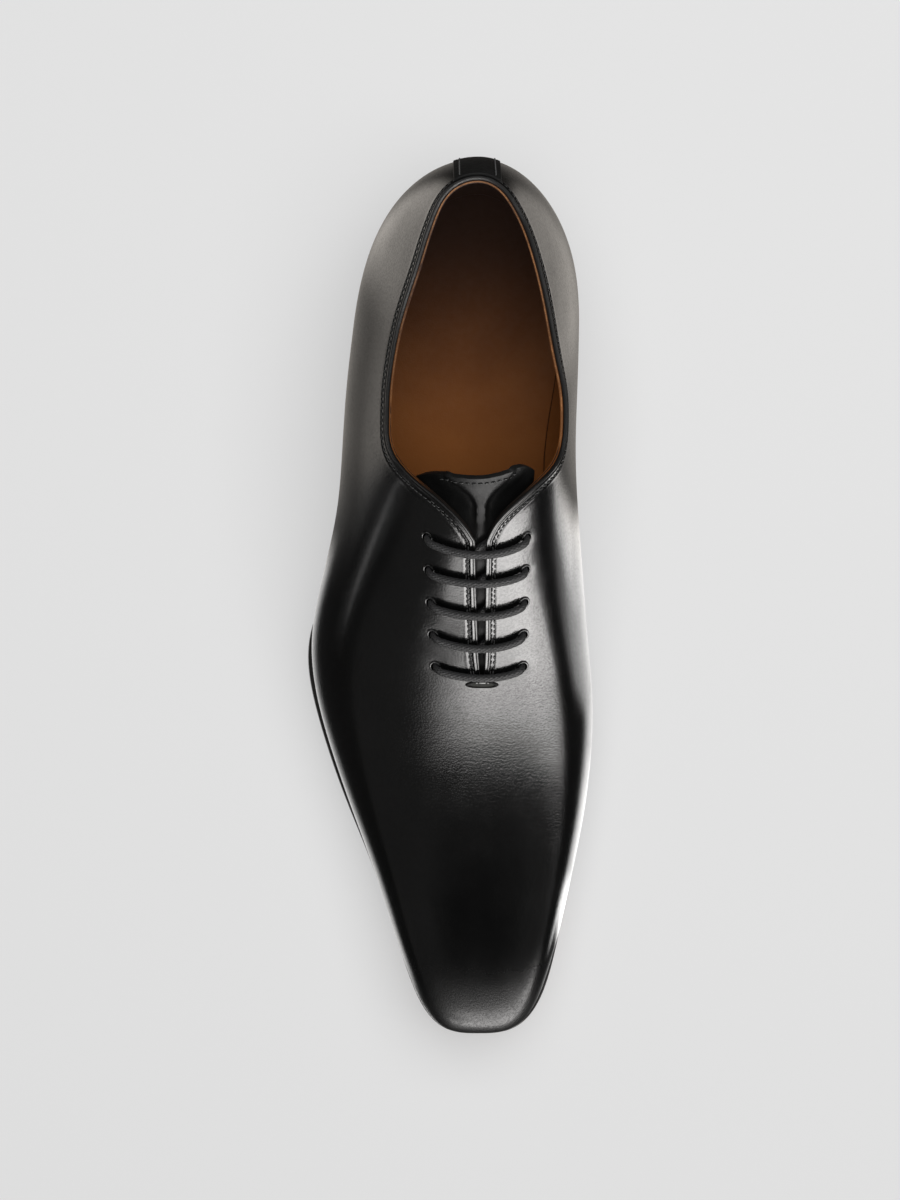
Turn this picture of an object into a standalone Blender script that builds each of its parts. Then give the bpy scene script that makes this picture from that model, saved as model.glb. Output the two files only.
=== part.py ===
"""Whole cut oxford for the right foot, on a slim last with a soft chisel toe.

Metres, +Z up. The toe points towards -Y and the inner (medial) side towards +X. The shoe stands on the
floor at Z = 0, and its bounding box is centred over the origin.

The upper, tongue, lace, insole and sole all come from one last, whose outside is a function of two
numbers. "walk" goes from the back of the heel (0), past the end of the heel curve (1) and the start of
the toe curve (2), to the tip of the toe (3). "reach" goes across the shoe: 0 on the crest line, 1 on the
widest line and 2 at the sole, negative on the lateral side and positive on the medial side.
"""

import math

import bmesh
import bpy
import numpy as np
from mathutils import Matrix, Vector

# Driving sizes of the last
LENGTH = 0.310
BALL_WIDTH = 0.100
CONE_HEIGHT = 0.085  # top of the last's cone above the sole, in front of the ankle
HEEL_ROUND = 0.060  # length that the curve of the heel takes
TOE_ROUND = 0.040  # length that the curve of the toe takes
HEEL_CENTRE = 0.040  # how far inside the heel curve its sections turn
VAMP_SPREAD = 0.30  # how far out the vamp's rows of faces fan towards the toe, as a share of its half width

# Upper
WALL = 0.0022
BAND_WIDTH = 0.0030  # turned edge along the topline and the facings
BAND_RISE = 0.0005
BAND_STEP = 0.0003
SLIT_START = 0.135  # from the back of the heel to the top of the lacing slit
SLIT_LENGTH = 0.0485
SLIT_TOP_GAP = 0.0036
SLIT_END_GAP = 0.0017
TAB_WIDTH = 0.0145
TAB_LENGTH = 0.024
TAB_THICKNESS = 0.0011

# Sole
OUTSOLE_THICKNESS = 0.005
SOLE_LEDGE = 0.0022  # how far the outsole stands out past the foot of the upper
EDGE_ROUND = 0.0007
HEEL_HEIGHT = 0.025  # floor to the underside of the outsole, at the back
TOE_SPRING = 0.0115
HEEL_LENGTH = 0.072
HEEL_TAPER = 0.0022
BREAST_HOLLOW = 0.003
TOP_LIFT_THICKNESS = 0.006
LIFT_COUNT = 4
LIFT_GROOVE = 0.0004
INSOLE_THICKNESS = 0.0035

# Lacing
LACE_DIAMETER = 0.0024
EYELET_COUNT = 5
EYELET_PITCH = 0.0112
EYELET_LEAD = 0.0014  # first pair, behind the top of the slit
EYELET_SPREAD = 0.0344  # between the two eyelets of the first pair
EYELET_TAPER = 0.0038  # how much closer the last pair is
HOLE_CLEARANCE = 0.0008
LACE_CLEARANCE = 0.0008  # between the lace and the leather above or below it
LACE_BEND = 0.0024
LACE_SAGS = (0.0046, 0.0034, 0.0035, 0.0036, 0.0029)  # bow of each bar towards the toe, from the top
LACE_SIDE = 0.0036  # how far outside the eyelets its spare end runs back up

# Tongue
TONGUE_THICKNESS = 0.0022
TONGUE_LAP = 0.014  # how far it runs under the vamp, past the slit
TONGUE_RISE = 0.025  # how far its two corners stand up behind the slit
TONGUE_DIP = 0.004  # how much lower its free edge is between them

GAP = 0.0003  # between pieces that touch

# Outline from above: share of length, lateral and medial half width as shares of the ball width
OUTLINE = (
    (0.00, 0.400, 0.340),
    (0.12, 0.418, 0.356),
    (0.19, 0.441, 0.356),
    (0.26, 0.465, 0.350),
    (0.33, 0.480, 0.344),
    (0.40, 0.502, 0.354),
    (0.46, 0.545, 0.370),
    (0.52, 0.588, 0.386),
    (0.56, 0.598, 0.397),
    (0.61, 0.581, 0.410),
    (0.67, 0.532, 0.408),
    (0.74, 0.458, 0.384),
    (0.81, 0.378, 0.342),
    (0.87, 0.316, 0.300),
    (0.93, 0.265, 0.262),
    (1.00, 0.238, 0.246),
)

# Edge of the sole against that outline: share of length, lateral and medial shares of the ball width
SOLE_EDGE = (
    (0.00, -0.025, -0.025),
    (0.12, -0.030, -0.030),
    (0.24, -0.060, -0.070),
    (0.36, -0.090, -0.135),
    (0.46, -0.045, -0.100),
    (0.54, 0.012, -0.045),
    (0.62, 0.018, -0.015),
    (0.72, 0.014, -0.008),
    (0.80, 0.006, -0.004),
    (0.88, 0.004, 0.004),
    (0.95, 0.007, 0.013),
    (1.00, 0.010, 0.010),
)

# Crest: share of length, place across as a share of the ball width, height above the sole and height of
# the widest line above the sole, both as shares of the cone's height
CREST = (
    (0.00, 0.020, 1.000, 0.165),
    (0.19, 0.022, 1.030, 0.175),
    (0.28, 0.018, 1.040, 0.215),
    (0.35, 0.012, 1.010, 0.245),
    (0.42, 0.009, 0.940, 0.220),
    (0.50, 0.009, 0.815, 0.155),
    (0.56, 0.012, 0.712, 0.120),
    (0.62, 0.016, 0.608, 0.100),
    (0.70, 0.018, 0.495, 0.088),
    (0.78, 0.014, 0.408, 0.080),
    (0.86, 0.008, 0.350, 0.075),
    (0.93, 0.004, 0.312, 0.070),
    (1.00, 0.002, 0.270, 0.065),
)

# Fullness of the sections, where 0.707 is half an ellipse: share of length, lateral, medial
FULLNESS = (
    (0.000, 0.703, 0.703),
    (0.035, 0.637, 0.618),
    (0.090, 0.597, 0.587),
    (0.135, 0.597, 0.597),
    (0.190, 0.608, 0.613),
    (0.240, 0.618, 0.650),
    (0.270, 0.623, 0.690),
    (0.300, 0.631, 0.713),
    (0.360, 0.655, 0.708),
    (0.450, 0.680, 0.700),
    (0.550, 0.705, 0.715),
    (0.700, 0.740, 0.740),
    (0.850, 0.770, 0.775),
    (1.000, 0.790, 0.790),
)

# Topline: share of length, how far out it lies from the crest on each side, as shares of the half width
TOPLINE = (
    (0.000, 0.735, 0.735),
    (0.020, 0.655, 0.623),
    (0.050, 0.580, 0.538),
    (0.090, 0.557, 0.515),
    (0.135, 0.583, 0.550),
    (0.190, 0.662, 0.637),
    (0.235, 0.700, 0.728),
    (0.270, 0.711, 0.812),
    (0.302, 0.706, 0.838),
    (0.332, 0.676, 0.805),
    (0.353, 0.590, 0.695),
    (0.370, 0.480, 0.533),
    (0.387, 0.345, 0.361),
    (0.401, 0.240, 0.225),
    (0.417, 0.130, 0.112),
)

# Underside of the outsole: share of length, height as a share of the heel height or of the toe spring
TREAD_BACK = 0.60
TREAD_FRONT = 0.68
HEEL_RISE = (
    (0.000, 1.000),
    (0.120, 0.962),
    (0.235, 0.905),
    (0.330, 0.735),
    (0.430, 0.400),
    (0.520, 0.110),
    (TREAD_BACK, 0.0),
)
TOE_RISE = (
    (TREAD_FRONT, 0.0),
    (0.780, 0.170),
    (0.880, 0.480),
    (1.000, 1.000),
)

# Tongue: share of its length from the free end, half width as a share of the distance crest to widest line
TONGUE_WIDTH = (
    (0.00, 0.640),
    (0.10, 0.660),
    (0.30, 0.600),
    (0.65, 0.480),
    (1.00, 0.400),
)

HEEL_BLUNT = 2.5
TOE_BLUNT = 2.4
TOE_SQUARE = 3.2
TOE_NOSE = 3.6

BLACK_CALF = ("black_calf", (0.012, 0.012, 0.013), 0.22)
BLACK_LEATHER = ("black_leather", (0.014, 0.014, 0.014), 0.45)
SOLE_BLACK = ("black_sole_edge", (0.015, 0.014, 0.013), 0.35)
TAN_LEATHER = ("tan_leather", (0.20, 0.085, 0.033), 0.55)
TOP_RUBBER = ("black_rubber", (0.02, 0.02, 0.02), 0.7)
WAXED_COTTON = ("waxed_cotton", (0.012, 0.012, 0.012), 0.6)


def smooth_curve(rows, column, at, flat_start=False, flat_end=False):
    """Cubic spline through one column of a table, natural at its ends or level there."""
    x = np.array([row[0] for row in rows], float)
    y = np.array([row[column] for row in rows], float)
    step = np.diff(x)
    slope = np.diff(y) / step
    matrix = np.zeros((len(x), len(x)))
    right = np.zeros(len(x))
    matrix[0, 0] = matrix[-1, -1] = 1
    if flat_start:
        matrix[0, :2] = 2 * step[0], step[0]
        right[0] = 6 * slope[0]
    if flat_end:
        matrix[-1, -2:] = step[-1], 2 * step[-1]
        right[-1] = -6 * slope[-1]
    for i in range(1, len(x) - 1):
        matrix[i, i - 1 : i + 2] = step[i - 1], 2 * (step[i - 1] + step[i]), step[i]
        right[i] = 6 * (slope[i] - slope[i - 1])
    bend = np.linalg.solve(matrix, right)
    at = np.clip(at, x[0], x[-1])
    i = np.clip(np.searchsorted(x, at) - 1, 0, len(x) - 2)
    after, before, width = at - x[i], x[i + 1] - at, step[i]
    cubic = (bend[i] * before**3 + bend[i + 1] * after**3) / (6 * width)
    return (
        cubic
        + (y[i] / width - bend[i] * width / 6) * before
        + (y[i + 1] / width - bend[i + 1] * width / 6) * after
    )


def power(base, exponent):
    return np.clip(base, 0, None) ** exponent


def underside(along):
    """Height of the outsole's underside: down from the heel, flat at the tread, up at the toe."""
    share = along / LENGTH
    heel = smooth_curve(HEEL_RISE, 1, np.minimum(share, TREAD_BACK), flat_end=True)
    toe = smooth_curve(TOE_RISE, 1, np.maximum(share, TREAD_FRONT), flat_start=True)
    return heel * HEEL_HEIGHT + toe * TOE_SPRING


def sole_top(along):
    return underside(along) + OUTSOLE_THICKNESS


def stations(walk):
    """Distance along the shoe, share of the full width, share of the full height and the heel's turn."""
    heel = np.clip(walk, 0, 1) * math.pi / 2
    toe = np.clip(3 - walk, 0, 1) * math.pi / 2
    heel_turn = power(np.cos(heel), 2 / HEEL_BLUNT)
    toe_turn = power(np.cos(toe), 2 / TOE_BLUNT)
    straight = LENGTH - HEEL_ROUND - TOE_ROUND
    along = (
        HEEL_ROUND * (1 - heel_turn)
        + straight * np.clip(walk - 1, 0, 1)
        + TOE_ROUND * toe_turn
    )
    width = np.sin(heel) * power(np.sin(toe), 2 / TOE_SQUARE)
    height = power(np.sin(toe), 2 / TOE_NOSE)
    return along, width, height, heel_turn


def walk_at(along):
    """The walk of a station on the straight stretch between heel curve and toe curve."""
    return 1 + (along - HEEL_ROUND) / (LENGTH - HEEL_ROUND - TOE_ROUND)


def outline(walk, side, outward=0.0):
    """Plan of the widest line, moved outward square to itself: place across and along the shoe."""
    column = 1 if side < 0 else 2
    walk = np.clip(walk, 0, 3)
    nudge = 1e-5
    ends = []
    for w in (np.clip(walk - nudge, 0, 3), np.clip(walk + nudge, 0, 3), walk):
        along, width, _, _ = stations(w)
        half = smooth_curve(OUTLINE, column, along / LENGTH) * BALL_WIDTH * width
        ends.append((side * half, along))
    run_x, run_y = ends[1][0] - ends[0][0], ends[1][1] - ends[0][1]
    long = np.hypot(run_x, run_y)
    x, along = ends[2]
    return x + side * outward * run_y / long, along - side * outward * run_x / long


def sole_outline(walk, side, inset=0.0):
    along = stations(walk)[0]
    column = 1 if side < 0 else 2
    edge = smooth_curve(SOLE_EDGE, column, along / LENGTH) * BALL_WIDTH
    return outline(walk, side, edge - inset)


def arch(rise, fullness):
    """Half a section: out from the crest and up from the widest line, for a rise from 0 to 1."""
    shoulder = ((0.0, 0.0), (0.5, 1.0), (1.0, 0.0))
    ends = ((0.0, 1.0, 0.0), (0.5, 0.0, 0.0), (1.0, 0.0, 1.0))
    out = smooth_curve(ends, 1, rise, flat_start=True)
    out = out + fullness * smooth_curve(shoulder, 1, rise, flat_start=True)
    high = smooth_curve(ends, 2, rise, flat_end=True)
    high = high + fullness * smooth_curve(shoulder, 1, rise, flat_end=True)
    return out, high


def last_point(walk, reach):
    """The outside of the upper, as an array of points."""
    walk, reach = np.broadcast_arrays(np.asarray(walk, float), np.asarray(reach, float))
    along, width, height, heel_turn = stations(walk)
    share = along / LENGTH
    lateral, medial = (smooth_curve(OUTLINE, c, share) * BALL_WIDTH * width for c in (1, 2))
    crest_x = smooth_curve(CREST, 1, share) * BALL_WIDTH * width
    wide_z = sole_top(along) + smooth_curve(CREST, 3, share) * CONE_HEIGHT
    crest_z = smooth_curve(CREST, 2, share) - smooth_curve(CREST, 3, share)
    crest_z = wide_z + crest_z * CONE_HEIGHT * height
    side = np.where(reach < 0, -1.0, 1.0)
    fullness = [smooth_curve(FULLNESS, c, share) for c in (1, 2)]
    rise = 1 - np.clip(np.abs(reach), 0, 1)
    out, high = arch(rise, np.where(reach < 0, *fullness))
    signed = side * out
    x = crest_x + (medial + lateral) / 2 * signed
    x = x + ((medial - lateral) / 2 - crest_x) * signed**2
    turn_at = along + HEEL_CENTRE * power(heel_turn, HEEL_BLUNT)
    y = turn_at + out * (along - turn_at)
    z = wide_z + (crest_z - wide_z) * high

    drop = np.clip(np.abs(reach) - 1, 0, 1)
    foot = [sole_outline(walk, s, SOLE_LEDGE) for s in (-1, 1)]
    foot_x = np.where(reach < 0, foot[0][0], foot[1][0])
    foot_y = np.where(reach < 0, foot[0][1], foot[1][1])
    x = x + (foot_x - x) * drop**2
    y = y + (foot_y - y) * drop**2
    z = z + (sole_top(foot_y) + GAP - z) * drop
    return world(x, y, z)


def world(x, along, z):
    return np.stack(np.broadcast_arrays(x, LENGTH / 2 - along, z), axis=-1)


def last_normal(walk, reach):
    """Outward unit normal of the last, from small steps along its two directions."""
    nudge = 1e-3
    ahead = last_point(walk + nudge, reach) - last_point(walk - nudge, reach)
    across = last_point(walk, reach + nudge) - last_point(walk, reach - nudge)
    normal = np.cross(ahead, across)
    return normal / np.linalg.norm(normal, axis=-1, keepdims=True)


def spread_evenly(line, count):
    """Indices, as fractions, that cut a line of points into equal lengths."""
    run = np.concatenate([[0], np.cumsum(np.linalg.norm(np.diff(line, axis=0), axis=1))])
    return np.interp(np.linspace(0, run[-1], count), run, np.arange(len(run)))


def half_at(along):
    """Mean of the lateral and medial half widths."""
    return (smooth_curve(OUTLINE, 1, along / LENGTH) + smooth_curve(OUTLINE, 2, along / LENGTH)) / 2 * BALL_WIDTH


def reach_of(walk, side, out):
    """Reach at which the section lies that share of its half width out from the crest."""
    rises = np.linspace(0, 1, 301)
    fullness = smooth_curve(FULLNESS, 1 if side < 0 else 2, stations(walk)[0] / LENGTH)
    pairs = zip(np.broadcast_to(out, fullness.shape).ravel(), fullness.ravel())
    found = [1 - np.interp(-o, -arch(rises, f)[0], rises) for o, f in pairs]
    return np.reshape(found, fullness.shape)


def open_edge(walk, side):
    """Reach of the upper's open edge: the collar, then the slit, then a fanning row over the vamp."""
    along = stations(walk)[0]
    top = (SLIT_START / LENGTH,) + (SLIT_TOP_GAP / 2 / half_at(SLIT_START),) * 2
    rows = TOPLINE + (top,)
    collar = smooth_curve(rows, 1 if side < 0 else 2, along / LENGTH)
    down = np.clip((along - SLIT_START) / SLIT_LENGTH, 0, 1)
    past = np.clip((along - SLIT_END) / (LENGTH - SLIT_END), 0, 1)
    gap = SLIT_TOP_GAP + (SLIT_END_GAP - SLIT_TOP_GAP) * down
    slit = gap / 2 / half_at(along) + VAMP_SPREAD * past**1.5
    return reach_of(walk, side, np.where(along < SLIT_START, collar, slit))


def in_from_edge(walk, side, edge, width):
    """Reach that lies this far in from the upper's edge, square to it."""
    line = last_point(walk, side * edge)
    run = np.gradient(line, axis=0)
    run = run / np.linalg.norm(run, axis=1, keepdims=True)
    nudge = 0.02
    across = (last_point(walk, side * (edge + nudge)) - line) / nudge
    square = np.linalg.norm(np.cross(across, run), axis=1)
    return edge + width / np.maximum(square, 0.35 * half_at(0.3 * LENGTH))


def blend(value, start, end):
    """0 up to start, 1 from end on, and smooth between."""
    t = np.clip((value - start) / (end - start), 0, 1)
    return t * t * (3 - 2 * t)


def mesh_object(name, points, faces, materials, smooth=True):
    """A mesh object from points and faces, with points that coincide merged."""
    mesh = bpy.data.meshes.new(name)
    work = bmesh.new()
    corners = [work.verts.new(p) for p in points]
    for face in faces:
        if len({tuple(np.round(points[i], 7)) for i in face}) > 2:
            work.faces.new([corners[i] for i in face])
    bmesh.ops.remove_doubles(work, verts=work.verts, dist=1e-5)
    bmesh.ops.dissolve_degenerate(work, edges=work.edges, dist=1e-7)
    loose = [v for v in work.verts if not v.link_faces]
    bmesh.ops.delete(work, geom=loose, context="VERTS")
    for face in work.faces:
        face.smooth = smooth
    work.to_mesh(mesh)
    work.free()
    obj = bpy.data.objects.new(name, mesh)
    for recipe in materials:
        obj.data.materials.append(material(*recipe))
    shoe.objects.link(obj)
    obj.parent = origin
    return obj


def material(name, colour, roughness):
    if name in bpy.data.materials:
        return bpy.data.materials[name]
    made = bpy.data.materials.new(name)
    made.use_nodes = True
    shader = made.node_tree.nodes["Principled BSDF"]
    shader.inputs["Base Color"].default_value = (*colour, 1)
    shader.inputs["Roughness"].default_value = roughness
    made.diffuse_color = (*colour, 1)
    return made


def grid_faces(rows, columns, keep=None):
    """Quads of a grid of points, whose row number grows along the shoe and column number towards +X."""
    quads = []
    for i in range(rows - 1):
        for j in range(columns - 1):
            if keep is None or keep(i, j):
                at = i * columns + j
                quads.append((at, at + columns, at + columns + 1, at + 1))
    return quads


def layered_solid(name, levels, materials):
    """A closed solid from grids stacked from bottom to top, capped by the first and the last."""
    rows, columns = levels[0].shape[:2]
    size = rows * columns
    ring = [i * columns for i in range(rows)]
    ring += [(rows - 1) * columns + j for j in range(1, columns)]
    ring += [i * columns + columns - 1 for i in range(rows - 2, -1, -1)]
    ring += list(range(columns - 2, 0, -1))
    cap = grid_faces(rows, columns)
    faces = [quad[::-1] for quad in cap]
    faces += [tuple(i + (len(levels) - 1) * size for i in quad) for quad in cap]
    for level in range(len(levels) - 1):
        low = level * size
        for here, after in zip(ring, ring[1:] + ring[:1]):
            faces.append((here + low, after + low, after + low + size, here + low + size))
    obj = mesh_object(name, np.concatenate([g.reshape(-1, 3) for g in levels]), faces, materials)
    obj.data.set_sharp_from_angle(angle=math.radians(35))
    return obj


def outline_grid(walk, inset, height, columns=5):
    """A flat grid inside the sole's outline, lifted to a height that follows the distance along the shoe."""
    left, right = (np.stack(sole_outline(walk, side, inset), axis=-1) for side in (-1, 1))
    t = np.linspace(0, 1, columns)[None, :, None]
    plan = left[:, None] * (1 - t) + right[:, None] * t
    return world(plan[..., 0], plan[..., 1], height(plan[..., 1]))


def rounded(obj, width, segments=2):
    bevel = obj.modifiers.new("edges", "BEVEL")
    bevel.width = width
    bevel.segments = segments
    bevel.limit_method = "ANGLE"
    bevel.angle_limit = math.radians(50)
    return obj


def shell(obj, thickness):
    """Wall built outward from the inside surface that obj holds, or inward if thickness is negative."""
    solidify = obj.modifiers.new("wall", "SOLIDIFY")
    solidify.thickness = abs(thickness)
    solidify.offset = 1 if thickness > 0 else -1
    return solidify


def eyelet(number):
    """Distance along the shoe and share of the half width of one pair of eyelets."""
    along = SLIT_START - EYELET_LEAD + number * EYELET_PITCH
    spread = EYELET_SPREAD - EYELET_TAPER * number / max(EYELET_COUNT - 1, 1)
    return along, spread / 2 / half_at(along)


def lifted(along, out, height):
    """Points over the lacing: signed share of the half width across, height above the upper."""
    along, out, height = np.broadcast_arrays(*np.atleast_1d(along, out, height))
    walk = walk_at(along)
    reach = np.where(out < 0, -reach_of(walk, -1, -out), reach_of(walk, 1, out))
    return last_point(walk, reach) + last_normal(walk, reach) * height[..., None]


def make_upper():
    throat = SLIT_START - 0.1 * LENGTH
    vamp = LENGTH - TOE_ROUND
    middle = [np.linspace(HEEL_ROUND, throat, 5), np.linspace(throat, SLIT_START, 10)[1:]]
    middle += [np.linspace(SLIT_START, SLIT_END, 8)[1:], np.linspace(SLIT_END, vamp, 10)[1:]]
    toe = 3 - np.linspace(1, 0, 10)[1:]
    walk = np.concatenate([np.linspace(0, 1, 11)[:-1], walk_at(np.concatenate(middle)), toe])
    closed = int(np.argmin(np.abs(stations(walk)[0] - SLIT_END)))
    sides = []
    for side in (-1, 1):
        edge = open_edge(walk, side)
        band = in_from_edge(walk, side, edge, BAND_WIDTH)
        foot_of_band = in_from_edge(walk, side, edge, BAND_WIDTH + BAND_STEP)
        columns = [edge, band]
        columns += [foot_of_band + (1 - foot_of_band) * t for t in np.linspace(0, 1, 8)]
        columns += [np.full_like(walk, 1 + t) for t in (1 / 3, 2 / 3, 1)]
        sides.append(side * np.stack(columns, axis=1))
    sides[1][0] = -sides[0][0]
    centre = [sides[0][:, 0] * (1 - t) + sides[1][:, 0] * t for t in (0.25, 0.5, 0.75)]
    reach = np.concatenate([sides[0][:, ::-1], np.stack(centre, axis=1), sides[1]], axis=1)
    grid_walk = np.broadcast_to(walk[:, None], reach.shape)
    least = np.select([grid_walk < 0.001, grid_walk > 2.999], [0.1, 1.0], 0.0)
    facing = np.copysign(np.maximum(np.abs(reach), least), reach)
    points = last_point(grid_walk, reach) - WALL * last_normal(grid_walk, facing)
    points[..., 2] = np.maximum(points[..., 2], (sole_top(LENGTH / 2 - points[..., 1]) + GAP))
    each = sides[0].shape[1]

    def keep(i, j):
        return i >= closed or not each - 1 <= j < each + 3

    rows, columns = reach.shape
    obj = mesh_object(
        "upper", points.reshape(-1, 3), grid_faces(rows, columns, keep), (BLACK_CALF, TAN_LEATHER)
    )
    band = obj.vertex_groups.new(name="band")
    raised = points[: closed + 1, [each - 2, each - 1, each + 3, each + 4]].reshape(-1, 3)
    near = {tuple(np.round(p, 6)) for p in raised}
    band.add([v.index for v in obj.data.vertices if tuple(np.round(v.co, 6)) in near], 1, "REPLACE")
    wall = shell(obj, WALL + BAND_RISE)
    wall.vertex_group = "band"
    wall.thickness_vertex_group = WALL / (WALL + BAND_RISE)
    wall.material_offset = 1

    cutter_points = []
    cutter_faces = []
    turn = np.linspace(0, 2 * math.pi, 17)[:-1]
    for number in range(EYELET_COUNT):
        along, out = eyelet(number)
        for side in (-1, 1):
            centre = lifted(along, side * out, 0.0)[0]
            axis = Vector(lifted(along, side * out, 1.0)[0] - centre).normalized()
            u = axis.orthogonal().normalized()
            v = axis.cross(u)
            start = len(cutter_points)
            for height in (-3 * WALL, 2 * WALL):
                for angle in turn:
                    spoke = u * math.cos(angle) + v * math.sin(angle)
                    radius = LACE_DIAMETER / 2 + HOLE_CLEARANCE
                    cutter_points.append(Vector(centre) + axis * height + spoke * radius)
            low = list(range(start, start + 16))
            cutter_faces += [tuple(low[::-1]), tuple(i + 16 for i in low)]
            cutter_faces += [
                (low[i], low[(i + 1) % 16], low[(i + 1) % 16] + 16, low[i] + 16) for i in range(16)
            ]
    drill = mesh_object("eyelet_drill", np.array(cutter_points), cutter_faces, (BLACK_CALF,))
    shoe.objects.unlink(drill)
    helpers.objects.link(drill)
    drill.hide_render = True
    drill.display_type = "WIRE"
    cut = obj.modifiers.new("eyelets", "BOOLEAN")
    cut.operation = "DIFFERENCE"
    cut.solver = "EXACT"
    cut.object = drill


def make_tongue():
    """A curved sheet under the lacing, deep enough to leave room for the lace between."""
    last_pair = eyelet(EYELET_COUNT - 1)[0]
    end = SLIT_END + TONGUE_LAP
    down, across = np.meshgrid(np.linspace(0, 1, 16), np.linspace(-1, 1, 11), indexing="ij")
    start = SLIT_START - TONGUE_RISE + TONGUE_DIP * (1 - (across / 0.8) ** 2) ** 2
    along = start + (end - start) * down
    out = across * smooth_curve(TONGUE_WIDTH, 1, down)
    room = LACE_DIAMETER + 2 * LACE_CLEARANCE - GAP
    under_lace = blend(along, SLIT_START - TONGUE_RISE, SLIT_START - 3 * room)
    under_lace = under_lace - blend(along, last_pair + room, last_pair + 4 * room)
    points = lifted(along, out, -(WALL + GAP + room * (0.3 + 0.7 * under_lace)))
    rows, columns = out.shape
    obj = mesh_object("tongue", points.reshape(-1, 3), grid_faces(rows, columns), (BLACK_CALF,))
    shell(obj, -TONGUE_THICKNESS)


def make_lace():
    """One lace: a bar over each pair of eyelets, and a slanting run beneath to the next pair."""
    radius = LACE_DIAMETER / 2
    over = BAND_RISE + LACE_CLEARANCE + radius
    under = -(WALL + LACE_CLEARANCE + radius)
    middle = (over + under) / 2
    quarter = np.linspace(0, math.pi / 2, 4)
    path = []

    def turn(along, out, side, level, way, backward=False):
        """A quarter bend between the hole's axis and a level: way 1 leaves the hole, -1 enters it."""
        for angle in quarter[::way]:
            slip = LACE_BEND * (1 - math.cos(angle))
            place = (along - slip, side * out) if backward else (along, side * (out - slip / half_at(along)))
            path.append((*place, middle + (level - middle) * math.sin(angle)))

    turn(*eyelet(0), -1, under, -1, backward=True)
    for number in range(EYELET_COUNT):
        along, out = eyelet(number)
        bend = LACE_BEND / half_at(along)
        turn(along, out, -1, over, 1)
        sag = LACE_SAGS[number % len(LACE_SAGS)]
        for t in np.linspace(-1, 1, 11)[1:-1]:
            path.append((along + sag * (1 - t * t) ** 1.5, t * (out - bend), over))
        turn(along, out, 1, over, -1)
        if number == EYELET_COUNT - 1:
            break
        turn(along, out, 1, under, 1)
        along_after, out_after = eyelet(number + 1)
        for t in np.linspace(0, 1, 11)[1:-1]:
            across = (out - bend) * (1 - t) - (out_after - bend) * t
            path.append((along + (along_after - along) * blend(t, 0, 1), across, under))
        turn(along_after, out_after, -1, under, -1)
    turn(along, out, 1, under, 1, backward=True)
    top_along, top_out = eyelet(0)
    aside = LACE_SIDE / half_at(along)
    for t in np.linspace(0, 1, 13)[1:]:
        back = (along - LACE_BEND) * (1 - t) + top_along * t
        across = out * (1 - t) + top_out * t + aside * blend(t, 0, 0.16)
        path.append((back, across, under))

    path = [p for i, p in enumerate(path) if i == 0 or p != path[i - 1]]
    rows = np.array(path)
    points = lifted(rows[:, 0], rows[:, 1], rows[:, 2])
    long_enough = [0]
    for i in range(1, len(points)):
        if np.linalg.norm(points[i] - points[long_enough[-1]]) > radius / 4:
            long_enough.append(i)
    curve = bpy.data.curves.new("lace", "CURVE")
    curve.dimensions = "3D"
    curve.bevel_depth = radius
    curve.bevel_resolution = 1
    curve.use_fill_caps = True
    spline = curve.splines.new("POLY")
    spline.points.add(len(long_enough) - 1)
    for point, i in zip(spline.points, long_enough):
        point.co = (*points[i], 1)
    obj = bpy.data.objects.new("lace", curve)
    curve.materials.append(material(*WAXED_COTTON))
    shoe.objects.link(obj)
    obj.parent = origin


def make_heel_tab():
    """A strip over the back seam, from under the turned edge downward."""
    rows, columns = 8, 7
    down = np.linspace(0, 1, rows)
    reaches = np.linspace(0, 1.5, 151)
    seam = last_point(0.0, reaches)
    run = np.concatenate([[0], np.cumsum(np.linalg.norm(np.diff(seam, axis=0), axis=1))])
    points = np.zeros((rows, columns, 3))
    for j, x in enumerate(np.linspace(-1, 1, columns) * TAB_WIDTH / 2):
        side = -1 if x < 0 else 1
        walk = np.zeros(rows)
        for _ in range(8):
            top = np.interp(open_edge(walk, side), reaches, run) + BAND_WIDTH + BAND_STEP + GAP
            reach = np.interp(top + down * TAB_LENGTH, run, reaches)
            out = arch(1 - np.clip(reach, 0, 1), FULLNESS[0][1])[0]
            walk = np.arcsin(np.clip(abs(x) / (half_at(0.0) * out), 0, 0.9)) * 2 / math.pi
        points[:, j] = last_point(walk, side * reach) + GAP * last_normal(walk, side * reach)
    faces = grid_faces(rows, columns)
    obj = mesh_object("heel_tab", points[::-1].reshape(-1, 3), faces, (BLACK_CALF,))
    shell(obj, TAB_THICKNESS)


def make_sole():
    slab_walk = np.concatenate(
        [
            np.linspace(0, 1, 9)[:-1],
            walk_at(np.linspace(HEEL_ROUND, TREAD_BACK * LENGTH, 10)[:-1]),
            walk_at(np.linspace(TREAD_BACK * LENGTH, TREAD_FRONT * LENGTH, 5)[:-1]),
            walk_at(np.linspace(TREAD_FRONT * LENGTH, LENGTH - TOE_ROUND, 8)[:-1]),
            np.linspace(2, 3, 9),
        ]
    )
    levels = [outline_grid(slab_walk, 0, underside), outline_grid(slab_walk, 0, sole_top)]
    rounded(layered_solid("outsole", levels, (SOLE_BLACK,)), EDGE_ROUND)

    inset = SOLE_LEDGE + WALL + GAP

    def insole_bottom(along):
        return sole_top(along) + GAP

    def insole_top(along):
        return insole_bottom(along) + INSOLE_THICKNESS

    levels = [outline_grid(slab_walk, inset, insole_bottom), outline_grid(slab_walk, inset, insole_top)]
    rounded(layered_solid("insole", levels, (TAN_LEATHER,)), EDGE_ROUND, 1)


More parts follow.
